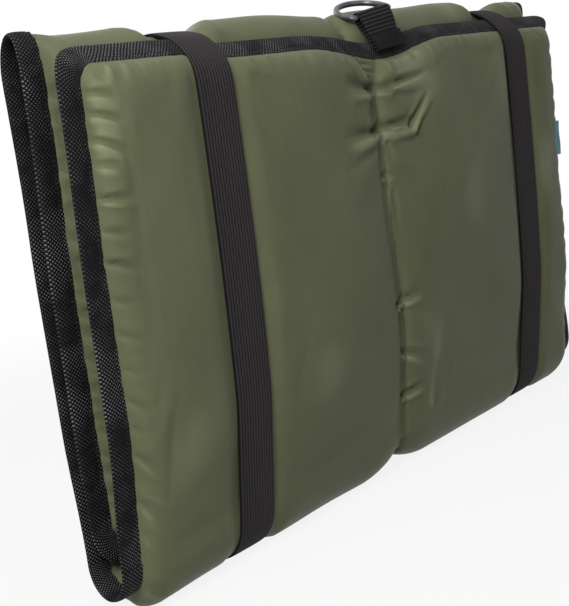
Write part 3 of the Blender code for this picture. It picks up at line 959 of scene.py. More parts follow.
@dataclass(frozen=True)
class CoatedNylon:
    """Plain-woven nylon with a coated back: fine threads, a soft gloss, painted highlights on ridges
    and painted shade in valleys.
    """

    name: str
    colour: Colour = (0.103, 0.112, 0.063)
    pale: Colour = (0.162, 0.180, 0.100)
    # painted highlight: the colour laid on the ridges of the creases
    ridge: Colour = (0.196, 0.215, 0.126)
    thread: float = 0.55
    roughness: float = 0.40

    def make(self) -> Material:
        """Build the material."""
        graph = Graph(self.name)
        across, along = graph.across_along()
        warp = (across * (TURN / self.thread)).sine()
        weft = (along * (TURN / self.thread)).sine()
        weave = warp * weft
        slub = graph.noise(9.0, 4.0)
        drift = graph.noise(70.0, 3.0)
        fold = graph.node("ShaderNodeAttribute", {"attribute_name": FOLD_NAME}, None, "Fac")
        # Masks from the crease relief: where a highlight is painted on ridges and shade is painted in
        # valleys
        ridge = fold.above(0.0004, 0.0018)
        valley = (fold * -1.0).above(0.0004, 0.0030)
        threads = graph.node("ShaderNodeCombineXYZ", None, {0: across * 0.30, 1: along * 0.012})
        streak = graph.noise(1.0, 3.0, threads)
        colour = graph.mix(slub.above(0.32, 0.72) * 0.30 + (streak - 0.5) * 0.30,
                           self.colour, self.pale)
        # Painted highlight on the ridges, then painted shade in the valleys, with the weave and a slow
        # drift
        colour = graph.mix(ridge * 0.75, colour, self.ridge)
        colour = graph.tint(colour, 1.0 - valley * 0.26 + weave * 0.05 + (drift - 0.5) * 0.10)
        rough = self.roughness + (slub - 0.5) * 0.10 + (drift - 0.5) * 0.10 - ridge * 0.05
        crumple = graph.bump(graph.noise(230.0, 3.0), 0.00022, 0.55)
        normal = graph.bump(weave, 0.00004, 0.8, crumple)
        return graph.finish(Base_Color=colour, Roughness=rough, Normal=normal,
                            Specular_IOR_Level=0.065, Sheen_Weight=0.02, Sheen_Roughness=0.45)


@dataclass(frozen=True)
class WovenTape:
    """Black binding tape: staggered floats that catch the light, and two rows of stitches."""

    name: str = "binding_tape"
    dark: Colour = (0.0060, 0.0057, 0.0068)
    # painted highlight on the floats, where they catch the light
    float_glint_colour: Colour = (0.172, 0.162, 0.174)
    cell: float = 1.4
    row: float = 1.3
    stitch_pitch: float = 3.2
    stitch_inset: float = 13.6

    def make(self) -> Material:
        """Build the material."""
        graph = Graph(self.name)
        across, along = graph.across_along()
        wander = (graph.noise(40.0, 2.0) - 0.5) * 0.9
        floats = ((across + wander) * (math.pi / self.cell)).sine() * (
            (along + wander) * (math.pi / self.row)).sine()
        ribs = (along * (TURN / 1.0)).sine()
        # Painted highlights on the floats, stronger in random patches
        glint_patches = graph.noise(95.0, 3.0).above(0.30, 0.66)
        lit = graph.noise(26.0, 2.0).above(0.46, 0.60)
        dots = floats.above(0.18, 0.80) * (0.10 + glint_patches * 0.38 + lit * 0.62)
        colour = graph.mix(dots, self.dark, self.float_glint_colour)
        stitch = (along * (TURN / self.stitch_pitch)).sine().above(-0.25, 0.25)
        line = 1.0 - (across.size() - self.stitch_inset).size().above(0.30, 0.60)
        thread = stitch * line
        colour = graph.mix(thread, colour, (0.030, 0.029, 0.032))
        sunk = line * (1.0 - stitch)
        rough = 0.74 - dots * 0.22
        height = floats.above(-0.2, 1.0) + ribs * 0.10 + thread * 1.2 - sunk * 1.0
        return graph.finish(Base_Color=colour, Roughness=rough,
                            Normal=graph.bump(height, 0.00030, 0.85),
                            Specular_IOR_Level=0.06)


@dataclass(frozen=True)
class RibbedElastic:
    """Black knitted elastic: lengthwise cords with fine cross stitches, and painted shade in the
    grooves between the cords.
    """

    name: str = "elastic"
    cord: float = 2.667
    cord_colour: Colour = (0.048, 0.041, 0.044)
    # painted shade in the grooves between the cords
    groove_shade_colour: Colour = (0.012, 0.011, 0.012)

    def make(self) -> Material:
        """Build the material."""
        graph = Graph(self.name)
        across, along = graph.across_along()
        cords = (across * (TURN / self.cord)).sine() * 0.5 + 0.5
        fine = (along * (TURN / 0.95) + (across * (TURN / self.cord)).sine() * 1.2).sine()
        fuzz = graph.noise(420.0, 3.0)
        # Painted shade in the grooves, and lighter and darker along the cross stitches in step with
        # their relief
        colour = graph.mix(cords.above(0.15, 0.80), self.groove_shade_colour, self.cord_colour)
        colour = graph.tint(colour, 0.90 + fine * 0.16 + (fuzz - 0.5) * 0.5)
        height = cords * 0.6 + fine * 0.35 + fuzz * 0.4
        return graph.finish(Base_Color=colour, Roughness=0.70 + (fuzz - 0.5) * 0.2,
                            Normal=graph.bump(height, 0.00025, 0.8),
                            Specular_IOR_Level=0.06)


@dataclass(frozen=True)
class CoarseWebbing:
    """Black webbing with heavy cross ribs broken into short grains, with painted shade between the
    ribs.
    """

    name: str = "webbing"
    rib: float = 2.9
    grain: float = 2.2

    def make(self) -> Material:
        """Build the material."""
        graph = Graph(self.name)
        across, along = graph.across_along()
        ribs = (along * (TURN / self.rib)).sine()
        grains = (across * (TURN / self.grain) + along * (math.pi / self.rib)).sine()
        fuzz = graph.noise(500.0, 2.0)
        # Painted shade between the ribs, and lighter and darker along the grains in step with their
        # relief
        colour = graph.mix(ribs.above(-0.3, 0.9), (0.008, 0.008, 0.009), (0.034, 0.034, 0.037))
        colour = graph.tint(colour, 0.9 + grains * 0.22 + (fuzz - 0.5) * 0.4)
        height = ribs * 0.7 + grains * 0.30 + fuzz * 0.3
        return graph.finish(Base_Color=colour, Roughness=0.66 + (fuzz - 0.5) * 0.2,
                            Normal=graph.bump(height, 0.00035, 0.8),
                            Specular_IOR_Level=0.06)


@dataclass(frozen=True)
class DarkMetal:
    """Bent steel wire with a dark plated finish, rubbed a little brighter in places."""

    name: str = "ring_metal"

    def make(self) -> Material:
        """Build the material."""
        graph = Graph(self.name)
        rub = graph.noise(120.0, 4.0)
        grain = graph.noise(900.0, 2.0)
        colour = graph.mix(rub.above(0.45, 0.75), (0.060, 0.061, 0.064), (0.125, 0.127, 0.132))
        rough = 0.36 + (grain - 0.5) * 0.16 - rub.above(0.5, 0.8) * 0.08
        return graph.finish(Base_Color=colour, Roughness=rough, Metallic=0.55,
                            Normal=graph.bump(grain, 0.00004, 0.5))


@dataclass(frozen=True)
class SatinRibbon:
    """Blue woven ribbon with a satin face and fine cross threads."""

    name: str = "ribbon"
    colour: Colour = (0.012, 0.260, 0.430)

    def make(self) -> Material:
        """Build the material."""
        graph = Graph(self.name)
        across, along = graph.across_along()
        threads = (along * (TURN / 0.5)).sine()
        edge = across.size().above(9.0, 10.5)
        colour = graph.tint(graph.mix(edge, self.colour, (0.008, 0.17, 0.30)),
                            0.95 + threads * 0.08)
        return graph.finish(Base_Color=colour, Roughness=0.42 + edge * 0.2,
                            Normal=graph.bump(threads, 0.00006, 0.6),
                            Sheen_Weight=0.2, Sheen_Roughness=0.4)


@dataclass(frozen=True)
class SewingThread:
    """Twisted black thread."""

    name: str = "thread"

    def make(self) -> Material:
        """Build the material."""
        graph = Graph(self.name)
        twist = graph.noise(1500.0, 2.0)
        colour = graph.mix(twist, (0.010, 0.010, 0.011), (0.045, 0.044, 0.048))
        return graph.finish(Base_Color=colour, Roughness=0.55 + (twist - 0.5) * 0.2,
                            Normal=graph.bump(twist, 0.00008, 0.6))


# Modelling tools


def deselect() -> None:
    """Leave nothing selected."""
    bpy.ops.object.select_all(action="DESELECT")


def pick(obj: Object) -> None:
    """Select one object and make it the active one."""
    deselect()
    obj.select_set(True)
    bpy.context.view_layer.objects.active = obj


def apply_modifiers(obj: Object) -> None:
    """Apply all modifiers of an object, first to last."""
    pick(obj)
    for modifier in list(obj.modifiers):
        bpy.ops.object.modifier_apply(modifier=modifier.name)


@dataclass
class Grid:
    """A grid sheet, or a slab of two such sheets, whose points can be placed by row and column."""

    obj: Object
    column: Array
    row: Array
    layer: Array

    @classmethod
    def add(cls, name: str, columns: int, rows: int, slab: bool) -> "Grid":
        """Add a grid primitive, extruded to a closed slab if wanted.

        Args:
            name: name of the object.
            columns: number of points across.
            rows: number of points along.
            slab: whether a second sheet and side walls are extruded from the first.

        Returns:
            The grid, with the column, row and layer of each of its points.
        """
        deselect()
        bpy.ops.mesh.primitive_grid_add(x_subdivisions=columns - 1, y_subdivisions=rows - 1,
                                        size=1.0, location=(0, 0, 0))
        obj = bpy.context.object
        obj.name = obj.data.name = name
        if slab:
            bpy.ops.object.mode_set(mode="EDIT")
            bpy.ops.mesh.select_all(action="SELECT")
            bpy.ops.mesh.extrude_region_move(TRANSFORM_OT_translate={"value": (0, 0, 1)})
            bpy.ops.mesh.select_all(action="SELECT")
            bpy.ops.mesh.normals_make_consistent(inside=False)
            bpy.ops.object.mode_set(mode="OBJECT")
        co = read_points(obj)
        column = np.rint((co[:, 0] + 0.5) * (columns - 1)).astype(int)
        row = np.rint((co[:, 1] + 0.5) * (rows - 1)).astype(int)
        return cls(obj, column, row, (co[:, 2] > 0.5).astype(int))

    def shape(self, points: Array) -> None:
        """Move every point to points[layer, row, column]."""
        co = points[self.layer, self.row, self.column]
        self.obj.data.vertices.foreach_set("co", co.astype(np.float32).ravel())
        self.obj.data.update()

    def set_uv(self, across: Array, along: Array) -> None:
        """Give the mesh its own UV map, in metres, from the places of its columns and rows."""
        mesh = self.obj.data
        while mesh.uv_layers:
            mesh.uv_layers.remove(mesh.uv_layers[0])
        layer = mesh.uv_layers.new(name=UV_NAME)
        corner = np.zeros(len(mesh.loops), int)
        mesh.loops.foreach_get("vertex_index", corner)
        uv = np.stack([across[self.column], along[self.row]], -1)[corner]
        layer.data.foreach_set("uv", uv.astype(np.float32).ravel())

    def set_values(self, name: str, values: Array) -> None:
        """Keep one number for each point, from values[layer, row, column]."""
        attribute = self.obj.data.attributes.new(name, "FLOAT", "POINT")
        found = values[self.layer, self.row, self.column]
        attribute.data.foreach_set("value", found.astype(np.float32))


def read_points(obj: Object) -> Array:
    """Points of an object's mesh."""
    co = np.zeros(len(obj.data.vertices) * 3, np.float32)
    obj.data.vertices.foreach_get("co", co)
    return co.reshape(-1, 3).astype(float)


def face_out(obj: Object) -> None:
    """Turn the faces of a closed mesh outwards."""
    pick(obj)
    bpy.ops.object.mode_set(mode="EDIT")
    bpy.ops.mesh.select_all(action="SELECT")
    bpy.ops.mesh.normals_make_consistent(inside=False)
    bpy.ops.object.mode_set(mode="OBJECT")


def smooth(obj: Object, angle: float = 50.0) -> None:
    """Shade smooth, with sharp edges above an angle in degrees."""
    pick(obj)
    bpy.ops.object.shade_smooth_by_angle(angle=math.radians(angle))


def dress(obj: Object, *materials: Material) -> None:
    """Give an object its materials."""
    obj.data.materials.clear()
    for material in materials:
        obj.data.materials.append(material)


def finish_sheet(obj: Object, thickness: float, material: Material) -> None:
    """Give a woven sheet its thickness, half of it to each side, and its material.

    Args:
        obj: the sheet.
        thickness: the thickness that it gets.
        material: its material.
    """
    wall = obj.modifiers.new("wall", "SOLIDIFY")
    wall.thickness, wall.offset = thickness, 0.0
    apply_modifiers(obj)
    face_out(obj)
    smooth(obj, 60)
    dress(obj, material)


def settle(name: str, sheet: Array, pinned: Array, pressure: float, frames: int,
           cap: float) -> Array:
    """Let a cloth sheet find its own shape under pressure, held along its pinned points.

    Args:
        name: name of the passing object.
        sheet: points of the sheet, by row and column.
        pinned: how firmly each point is held, from 0 to 1.
        pressure: push along the cloth's outward side.
        frames: number of steps.
        cap: how far a point may move.

    Returns:
        The settled points.
    """
    rows, columns = sheet.shape[:2]
    grid = Grid.add(name, columns, rows, False)
    grid.shape(sheet[None])
    obj = grid.obj
    group = obj.vertex_groups.new(name="held")
    for index, weight in enumerate(pinned[grid.row, grid.column]):
        if weight > 0:
            group.add([index], float(weight), "REPLACE")
    cloth = obj.modifiers.new("settle", "CLOTH")
    settings = cloth.settings
    settings.quality = 6
    settings.mass = 0.0003
    settings.tension_stiffness = 25.0
    settings.compression_stiffness = 20.0
    settings.shear_stiffness = 8.0
    settings.bending_stiffness = 0.35
    settings.vertex_group_mass = "held"
    settings.use_pressure = True
    settings.uniform_pressure_force = pressure
    settings.effector_weights.gravity = 0.0
    scene = bpy.context.scene
    for frame in range(1, frames + 1):
        scene.frame_set(frame)
    evaluated = obj.evaluated_get(bpy.context.evaluated_depsgraph_get())
    co = np.array([vertex.co for vertex in evaluated.data.vertices], float)
    settled = np.zeros_like(sheet)
    settled[grid.row, grid.column] = co
    scene.frame_set(1)
    bpy.data.objects.remove(obj, do_unlink=True)
    moved = settled - sheet
    length = np.linalg.norm(moved, axis=-1, keepdims=True)
    log.info("%s settled, moved up to %.1f mm", name, float(length.max()) * 1000)
    return sheet + moved * np.minimum(1.0, cap / np.maximum(length, 1e-9))


# The padded stretches


def flatten_when_open(obj: Object, stretch: Stretch) -> None:
    """Give the piece of the lower or the upper fold a mesh of its own.

    Args:
        obj: the finished piece.
        stretch: the stretch that the piece belongs to.
    """
    if stretch is Stretch.LOWER:
        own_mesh(obj)
    elif stretch is Stretch.UPPER:
        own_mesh(obj)


@dataclass
class PaddedStretch:
    """Cloth, lining and foam of one stretch, sewn together along the sides and the channel."""

    strip: Strip
    stretch: Stretch
    outer_creases: Creases
    inner_creases: Creases
    fill: float = 0.85

    # The tongues inside the folds
    tongue_gap: float = 0.0003
    tongue_step: float = 0.0025

    # Where creases fade out: at the tape's inner edge, and where the stretch ends at a fold
    tape_margin: float = 0.001
    tape_fade: float = 0.004
    crease_fade: float = 0.009

    # How deep a crease may cut, and how far it may stand out where panels lie face to face
    least_room: float = 0.0004
    crease_room: float = 0.0080
    inside_ridge: float = 0.0003

    # The cloth simulation: where the sheet is held, and what moves it
    seam_hold: float = 0.003
    crease_hold: float = 0.012
    strap_hold: Ease = Ease(0.2, 0.5)
    pressure: float = 1.6
    frames: int = 16
    cap: float = 0.004

    def rows(self) -> Array:
        """Places of the rows along the strip, with those of the tongues that reach into the folds."""
        strip = self.strip
        start, end = strip.span(self.stretch)
        first, last = start + CREASE_GAP, end - CREASE_GAP
        before = (start - strip.tongue, start - self.tongue_gap, self.tongue_step)
        after = (end + self.tongue_gap, end + strip.tongue, self.tongue_step)
        if self.stretch is Stretch.FRONT:
            return spaced((0.002, 0.125, 0.0017), (0.125, last, 0.0025), after)
        if self.stretch is Stretch.LOWER:
            return spaced((first, last, 0.0021))
        if self.stretch is Stretch.BACK:
            return spaced(before, (first, last, 0.0029), after)
        if self.stretch is Stretch.UPPER:
            return spaced((first, last, 0.0014))
        return spaced(before, (first, end - 0.030, 0.0029), (end - 0.030, end - 0.002, 0.0024))

    def thickness_share(self, s: Array) -> Array:
        """1 on the stretch itself, less on the tongues, which lie inside the folds at rest."""
        start, end = self.strip.span(self.stretch)
        return np.where((s < start) | (s > end), self.strip.tongue_share, 1.0)

    def columns(self) -> Array:
        """Places of the columns across the strip, closest at the channel and at the seams."""
        edge, seam = self.strip.half_width - 0.002, self.strip.side_seam
        half = spaced((0.0, 0.066, 0.0016), (0.066, 0.085, 0.0026), (0.085, seam - 0.040, 0.0042),
                      (seam - 0.040, seam, 0.0021), (seam, edge, 0.0035))
        return np.concatenate([-half[::-1], half[1:]])

    def held(self, x: Array, s: Array) -> Array:
        """1 where the cloth is held by seams, straps and creases, 0 where it is free."""
        strip = self.strip
        start, end = strip.span(self.stretch)
        from_end = np.minimum(s, strip.length - s) - strip.tape_width
        near_side = 1 - smooth_step((strip.side_seam - np.abs(x)) / self.seam_hold)
        near_end = 1 - smooth_step(from_end / self.seam_hold)
        near_channel = 1 - smooth_step(np.abs(x) / self.seam_hold)
        near_crease = 1 - smooth_step(np.minimum(s - start, end - s) / self.crease_hold)
        under = self.strap_hold.done(strip.strap_share(x, s))
        return np.clip(np.maximum.reduce([near_side, near_end, near_channel, near_crease, under]),
                       0, 1)

    def free_share(self, x: Array, s: Array) -> Array:
        """How much of a crease's depth shows.

        Args:
            x: distance across.
            s: distance along.

        Returns:
            0 under the binding, under a strap and next to a fold, 1 away from them.
        """
        strip, margin = self.strip, self.tape_margin
        inside = smooth_step((strip.side_seam + margin - np.abs(x)) / self.tape_fade)
        from_end = np.minimum(s, strip.length - s)
        inside = inside * smooth_step((from_end - strip.tape_width + margin) / self.tape_fade)
        start, end = strip.span(self.stretch)
        if start > 0:
            inside = inside * smooth_step((s - start) / self.crease_fade)
        if end < strip.length:
            inside = inside * smooth_step((end - s) / self.crease_fade)
        return inside * (1 - strip.strap_share(x, s))

    def relief(self, creases: Creases, x: Array, s: Array, facing: bool) -> Array:
        """Relief of one face, as deep and as high as there is room for.

        Args:
            creases: the creases of the face.
            x: distance across.
            s: distance along.
            facing: whether another panel lies against the face.

        Returns:
            The heights, outwards from the face.
        """
        room = self.least_room + self.crease_room * self.strip.fullness(x, s)
        relief = np.maximum(creases.relief(x, s) * self.free_share(x, s), -room)
        return np.minimum(relief, self.inside_ridge) if facing else relief

    def build(self, cloth: Material, lining: Material) -> None:
        """Build the closed padded piece.

        Args:
            cloth: material of the outer face.
            lining: material of the lining face and the ends.
        """
        strip = self.strip
        name = self.stretch.value
        across, along = self.columns(), self.rows()
        x, s = np.meshgrid(across, along)
        outer_relief = self.relief(self.outer_creases, x, s, self.stretch is Stretch.INNER)
        inner_relief = self.relief(self.inner_creases, x, s, True)
        thick, shift = self.thickness_share(s), strip.seam_shift(x, s)
        outer = strip.place(x, s, shift + (strip.outer_height(x, s) - shift) * thick + outer_relief)
        inner = strip.place(x, s, shift + (strip.inner_height(x, s) - shift) * thick - inner_relief)
        if self.stretch is Stretch.FRONT:
            inside = along <= strip.front_crease
            held = self.held(x, s)[inside]
            outer[inside] = settle(f"{name}_sheet", outer[inside][::-1], held[::-1],
                                   self.pressure, self.frames, self.cap)[::-1]
        grid = Grid.add(f"{name}_pad", len(across), len(along), True)
        grid.shape(np.stack([inner, outer]))
        grid.set_uv(across, along)
        # The crease relief; the cloth's material paints highlights on its ridges and shade in its
        # valleys from it
        grid.set_values(FOLD_NAME, np.stack([inner_relief, outer_relief]))
        obj = grid.obj
        face_out(obj)
        smooth(obj)
        dress(obj, cloth, lining)
        self.paint_lining(grid)
        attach(obj, name)
        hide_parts(f"{name}_cover", f"{name}_lining", f"{name}_foam_left",
                    f"{name}_foam_right")
        flatten_when_open(obj, self.stretch)
        log.info("%s: %d faces", obj.name, len(obj.data.polygons))

    @staticmethod
    def paint_lining(grid: Grid) -> None:
        """Give the faces of the lower sheet the second material."""
        mesh = grid.obj.data
        corner = np.zeros(len(mesh.loops), int)
        mesh.loops.foreach_get("vertex_index", corner)
        starts = np.zeros(len(mesh.polygons), int)
        mesh.polygons.foreach_get("loop_start", starts)
        lower = np.add.reduceat(grid.layer[corner], starts) == 0
        mesh.polygons.foreach_set("material_index", lower.astype(np.int32))


# The binding


@dataclass(frozen=True)
class Station:
    """A place on the strip's outline, the way an inset moves it, and the tape's share of height."""

    x: float
    s: float
    step_x: float
    step_s: float
    share: float = 1.0


@dataclass
class Binding:
    """Woven tape folded over the edge of the strip."""

    strip: Strip
    thickness: float = 0.0008
    press: float = 0.0005
    inner_edge: float = 0.0164
    half_inset: float = 0.008
    step: float = 0.0022
    corner_stations: int = 12

    # Unevenness of the inner edge and of the flat of the tape
    sway: float = 0.00050
    puff: float = 0.00012

    # The thin tongues inside the folds
    tongue_gap: float = 0.0003
    tongue_share: float = 0.3
    tongue_inset: float = 0.0012
    tongue_stations: int = 9

    def section(self) -> list[tuple[float, float]]:
        """Insets and heights of the tape's middle line, from the outer cloth round to the lining."""
        top = self.strip.tape_outer - self.thickness / 2 - self.press
        across = [(self.inner_edge, top - 0.00010), (0.0148, top + 0.00005),
                  (0.0136, top - 0.00020), (0.0122, top + 0.00018), (0.0095, top + 0.00030),
                  (0.0065, top + 0.00030), (0.0040, top + 0.00018), (0.0022, top - 0.00010),
                  (0.0010, top - 0.00055), (0.0005, 0.0)]
        return across + [(inset, -height) for inset, height in across[-2::-1]]

    def build(self, name: str, stretch: Stretch, stations: Sequence[Station], seed: int,
              tape: Material) -> None:
        """Fold the tape over the edge along the stations.

        Args:
            name: name of the CAD node that it stands for.
            stretch: the stretch that it edges.
            stations: places along the edge.
            seed: start of the random draws.
            tape: its material.
        """
        strip = self.strip
        section = self.section()
        rng = np.random.default_rng(seed)
        phases = rng.uniform(0, TURN, 4)
        sx, ss, dx, ds, share = (np.array(v) for v in zip(
            *[(p.x, p.s, p.step_x, p.step_s, p.share) for p in stations]))
        rim = strip.place(sx, ss, 0.0)
        run = distances(rim)
        sway = (self.sway * (np.sin(run * 170 + phases[0]) + np.sin(run * 95 + phases[1]))
                + self.sway * np.sin(run * 480 + 2 * np.sin(run * 70 + phases[2]) + phases[3]))
        puff = self.puff * (np.sin(run * 260 + phases[2]) + np.sin(run * 410 + phases[3]))
        points = np.zeros((1, len(stations), len(section), 3))
        across = np.zeros(len(section))
        for index, (inset, height) in enumerate(section):
            edge = smooth_step((inset - self.half_inset) / self.half_inset)
            middle = 1 - abs(inset - self.half_inset) / self.half_inset
            moved = inset + sway * edge + self.tongue_inset * (1 - share) * (1 - edge)
            lift = math.copysign(1, height) * puff * max(middle, 0.0)
            points[0, :, index] = strip.place(
                sx + moved * dx, ss + moved * ds,
                strip.edge_shift(ss + moved * ds, sx) + (height + lift) * share)
            across[index] = math.copysign(inset, height if height else 1.0)
        grid = Grid.add(f"{name}_tape", len(section), len(stations), False)
        grid.shape(points)
        grid.set_uv(across, run)
        obj = grid.obj
        finish_sheet(obj, self.thickness, tape)
        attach(obj, stretch.value)
        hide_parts(name)
        flatten_when_open(obj, stretch)
        log.info("%s: %d stations", obj.name, len(stations))

    def side(self, side: int, start: float, end: float) -> list[Station]:
        """Stations along the left side, -1, or the right one, 1."""
        return [Station(side * self.strip.half_width, s, -side, 0.0)
                for s in spaced((start, end, self.step))]

    def tongue(self, side: int, crease: float, direction: float) -> list[Station]:
        """Stations of the thin end that reaches into a fold.

        Args:
            side: -1 for the left side, 1 for the right one.
            crease: length along the strip at which the fold begins.
            direction: 1 or -1, the way along the strip that leads into the fold.

        Returns:
            The stations, from the crease outwards.
        """
        strip = self.strip
        low = crease < (strip.back_crease + strip.top_crease) / 2
        length = strip.low_tape_tongue if low else strip.top_tape_tongue
        return [Station(side * strip.half_width, crease + direction * reach, -side, 0.0,
                        self.tongue_share)
                for reach in np.linspace(self.tongue_gap, length, self.tongue_stations)]

    def along(self, stretch: Stretch, side: int) -> list[Station]:
        """Stations along one side of a fold or of the back panel."""
        start, end = self.strip.span(stretch)
        found = self.side(side, start + CREASE_GAP, end - CREASE_GAP)
        if stretch is Stretch.BACK:
            found = self.tongue(side, start, -1.0)[::-1] + found + self.tongue(side, end, 1.0)
        return found

    def free(self, stretch: Stretch) -> list[Station]:
        """Stations from the crease up the left side, over the free end and down the right side."""
        strip = self.strip
        first = stretch is Stretch.FRONT
        crease = strip.front_crease - CREASE_GAP if first else strip.inner_crease + CREASE_GAP
        end = 0.0 if first else strip.length
        inward = 1.0 if first else -1.0
        half, turns = strip.half_width, self.corner_stations

        def flank(side: int, radius: float) -> list[Station]:
            """One side and its corner, ending on the free end."""
            found = self.tongue(side, crease, inward)[::-1]
            found += self.side(side, crease, end + inward * radius)
            found += [Station(side * half, end + inward * rest, -side, inward * (1 - rest / radius))
                      for rest in np.linspace(radius, 0, turns)[1:]]
            return found + [Station(side * (half - rest), end, -side * (1 - rest / radius), inward)
                            for rest in np.linspace(0, radius, turns)[1:]]

        top = [Station(x, end, 0.0, inward) for x in spaced(
            (strip.left_corner - half, half - strip.right_corner, self.step))[1:-1]]
        return flank(-1, strip.left_corner) + top + flank(1, strip.right_corner)[::-1]


# Straps


def convex_outline(points: Array) -> Array:
    """Convex outline of points in a plane, counter-clockwise."""
    ordered = sorted(map(tuple, np.round(points, 7)))

    def chain(sequence: Sequence[tuple[float, float]]) -> list[tuple[float, float]]:
        """One half of the outline."""
        kept: list[tuple[float, float]] = []
        for point in sequence:
            while len(kept) > 1 and (
                    (kept[-1][0] - kept[-2][0]) * (point[1] - kept[-2][1])
                    - (kept[-1][1] - kept[-2][1]) * (point[0] - kept[-2][0])) <= 1e-10:
                kept.pop()
            kept.append(point)
        return kept[:-1]

    return np.array(chain(ordered) + chain(ordered[::-1]))


def outward(ahead: Array) -> Array:
    """Unit directions that lead out of a counter-clockwise loop, from the ways ahead along it."""
    out = np.stack([ahead[:, 1], -ahead[:, 0]], -1)
    return out / np.linalg.norm(out, axis=1, keepdims=True)


@dataclass(frozen=True)
class LoopSection:
    """The finished middle line of a loop, and the cross section that runs round it."""

    line: Array
    out: Array
    run: Array
    across: Array
    relief: Array


@dataclass
class Strap:
    """An elastic loop drawn tight round the folded mat."""

    strip: Strip
    name: str
    x: float
    thickness: float = 0.0015
    clearance: float = 0.0003
    cords: int = 13
    cord_height: float = 0.00016
    curl: float = 0.0004
    relief_room: float = 0.00012
    step: float = 0.0035

    # The sewn join behind the mat: its height, its length and how it lies on the loop
    join_height: float = 0.20
    overlap: float = 0.036
    join_gap: float = 0.0001
    join_share: float = 0.994
    end_dip: float = 0.0003

    # Its stitches: which rows of the join they lie on, their size and their spacing
    stitch_rows: tuple[int, ...] = (2, 5, 19, 22)
    stitch_size: tuple[float, float, float] = (0.00105, 0.00028, 0.00028)
    stitch_pitch: float = 0.0026
    stitch_margin: float = 0.002
    stitch_lift: float = 0.00025

    def outline(self) -> Array:
        """Middle line of the elastic in the side view, evenly spaced, and closed."""
        strip = self.strip
        s = np.linspace(0.0, strip.inner_crease, 500)
        middle = strip.nearest_strap(np.full_like(s, self.x), s)
        height = strip.outer_height(middle, s)
        taped = s <= strip.tape_width
        height = np.where(taped, strip.edge_shift(s, s) + strip.tape_outer, height)
        points = strip.place(middle, s, height)[:, 1:]
        hull = convex_outline(points)
        closed = np.vstack([hull, hull[:1]])
        run = distances(closed)
        count = int(run[-1] / self.step)
        places = np.linspace(0, run[-1], count, endpoint=False)
        even = np.stack([np.interp(places, run, closed[:, k]) for k in (0, 1)], -1)
        for _ in range(3):
            even = (np.roll(even, 1, 0) + 2 * even + np.roll(even, -1, 0)) / 4
        out = outward(np.roll(even, -1, 0) - np.roll(even, 1, 0))
        return even + out * (self.clearance + self.thickness / 2 + self.relief_room)

    def section(self) -> LoopSection:
        """The closed middle line, with the cords and the curled edges of its cross section."""
        line = self.outline()
        line = np.vstack([line, line[:1]])
        ahead = np.gradient(line, axis=0)
        ahead[0] = ahead[-1] = line[1] - line[-2]
        half = self.strip.strap_half
        across = np.linspace(-half, half, self.cords * 4 + 1)
        cords = self.cord_height * np.cos(TURN * across / (2 * half / self.cords) + math.pi)
        curl = -self.curl * (np.abs(across) / half) ** 6
        return LoopSection(line, outward(ahead), distances(line), across, cords + curl)

    def build(self, elastic: Material, thread: Material) -> None:
        """Build the ribbed loop and its sewn overlap.

        Args:
            elastic: material of the loop.
            thread: material of the stitches of its join.
        """
        section = self.section()
        line, across = section.line, section.across
        points = np.zeros((1, len(line), len(across), 3))
        middle = self.strip.strap_middle(np.full(len(line), self.x), line[:, 1])
        points[0, :, :, 0] = middle[:, None] + across[None]
        for k in (0, 1):
            off = section.out[:, k, None] * section.relief[None]
            points[0, :, :, 1 + k] = line[:, k, None] + off
        grid = Grid.add(f"{self.name}_band", len(across), len(line), False)
        grid.shape(points)
        grid.set_uv(across, section.run)
        obj = grid.obj
        pick(obj)
        bpy.ops.object.mode_set(mode="EDIT")
        bpy.ops.mesh.select_all(action="SELECT")
        bpy.ops.mesh.remove_doubles(threshold=0.00001)
        bpy.ops.object.mode_set(mode="OBJECT")
        finish_sheet(obj, self.thickness, elastic)
        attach(obj, self.name)
        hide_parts(self.name)
        self.add_join(section, elastic, thread)
        log.info("%s: %.0f mm round", obj.name, section.run[-1] * 1000)

    def add_join(self, section: LoopSection, elastic: Material, thread: Material) -> None:
        """Sew the elastic's second end over the first one, behind the mat.

        Args:
            section: middle line and cross section of the loop.
            elastic: material of the overlap.
            thread: material of the stitches.
        """
        line, out, across = section.line, section.out, section.across
        behind = line[:, 0] > 0.02
        centre = section.run[behind][np.argmin(np.abs(line[behind, 1] - self.join_height))]
        places = np.linspace(centre - self.overlap / 2, centre + self.overlap / 2, 25)
        y, z, oy, oz = (np.interp(places, section.run, values) for values in
                        (line[:, 0], line[:, 1], out[:, 0], out[:, 1]))
        lift = self.thickness + self.join_gap
        middle = self.strip.strap_middle(np.full(len(places), self.x), z)
        ends = self.end_dip * (np.abs(places - centre) / (self.overlap / 2)) ** 8
        height = lift + section.relief[None] - ends[:, None]
        points = np.stack([middle[:, None] + across[None] * self.join_share,
                           y[:, None] + oy[:, None] * height,
                           z[:, None] + oz[:, None] * height], -1)
        grid = Grid.add(f"{self.name}_join", len(across), len(places), False)
        grid.shape(points[None])
        grid.set_uv(across, places)
        obj = grid.obj
        finish_sheet(obj, self.thickness, elastic)
        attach(obj, self.name)
        rows = list(self.stitch_rows)
        self.add_stitches(np.stack([middle, y, z], -1)[rows],
                          np.stack([np.zeros_like(oy), oy, oz], -1)[rows], thread)

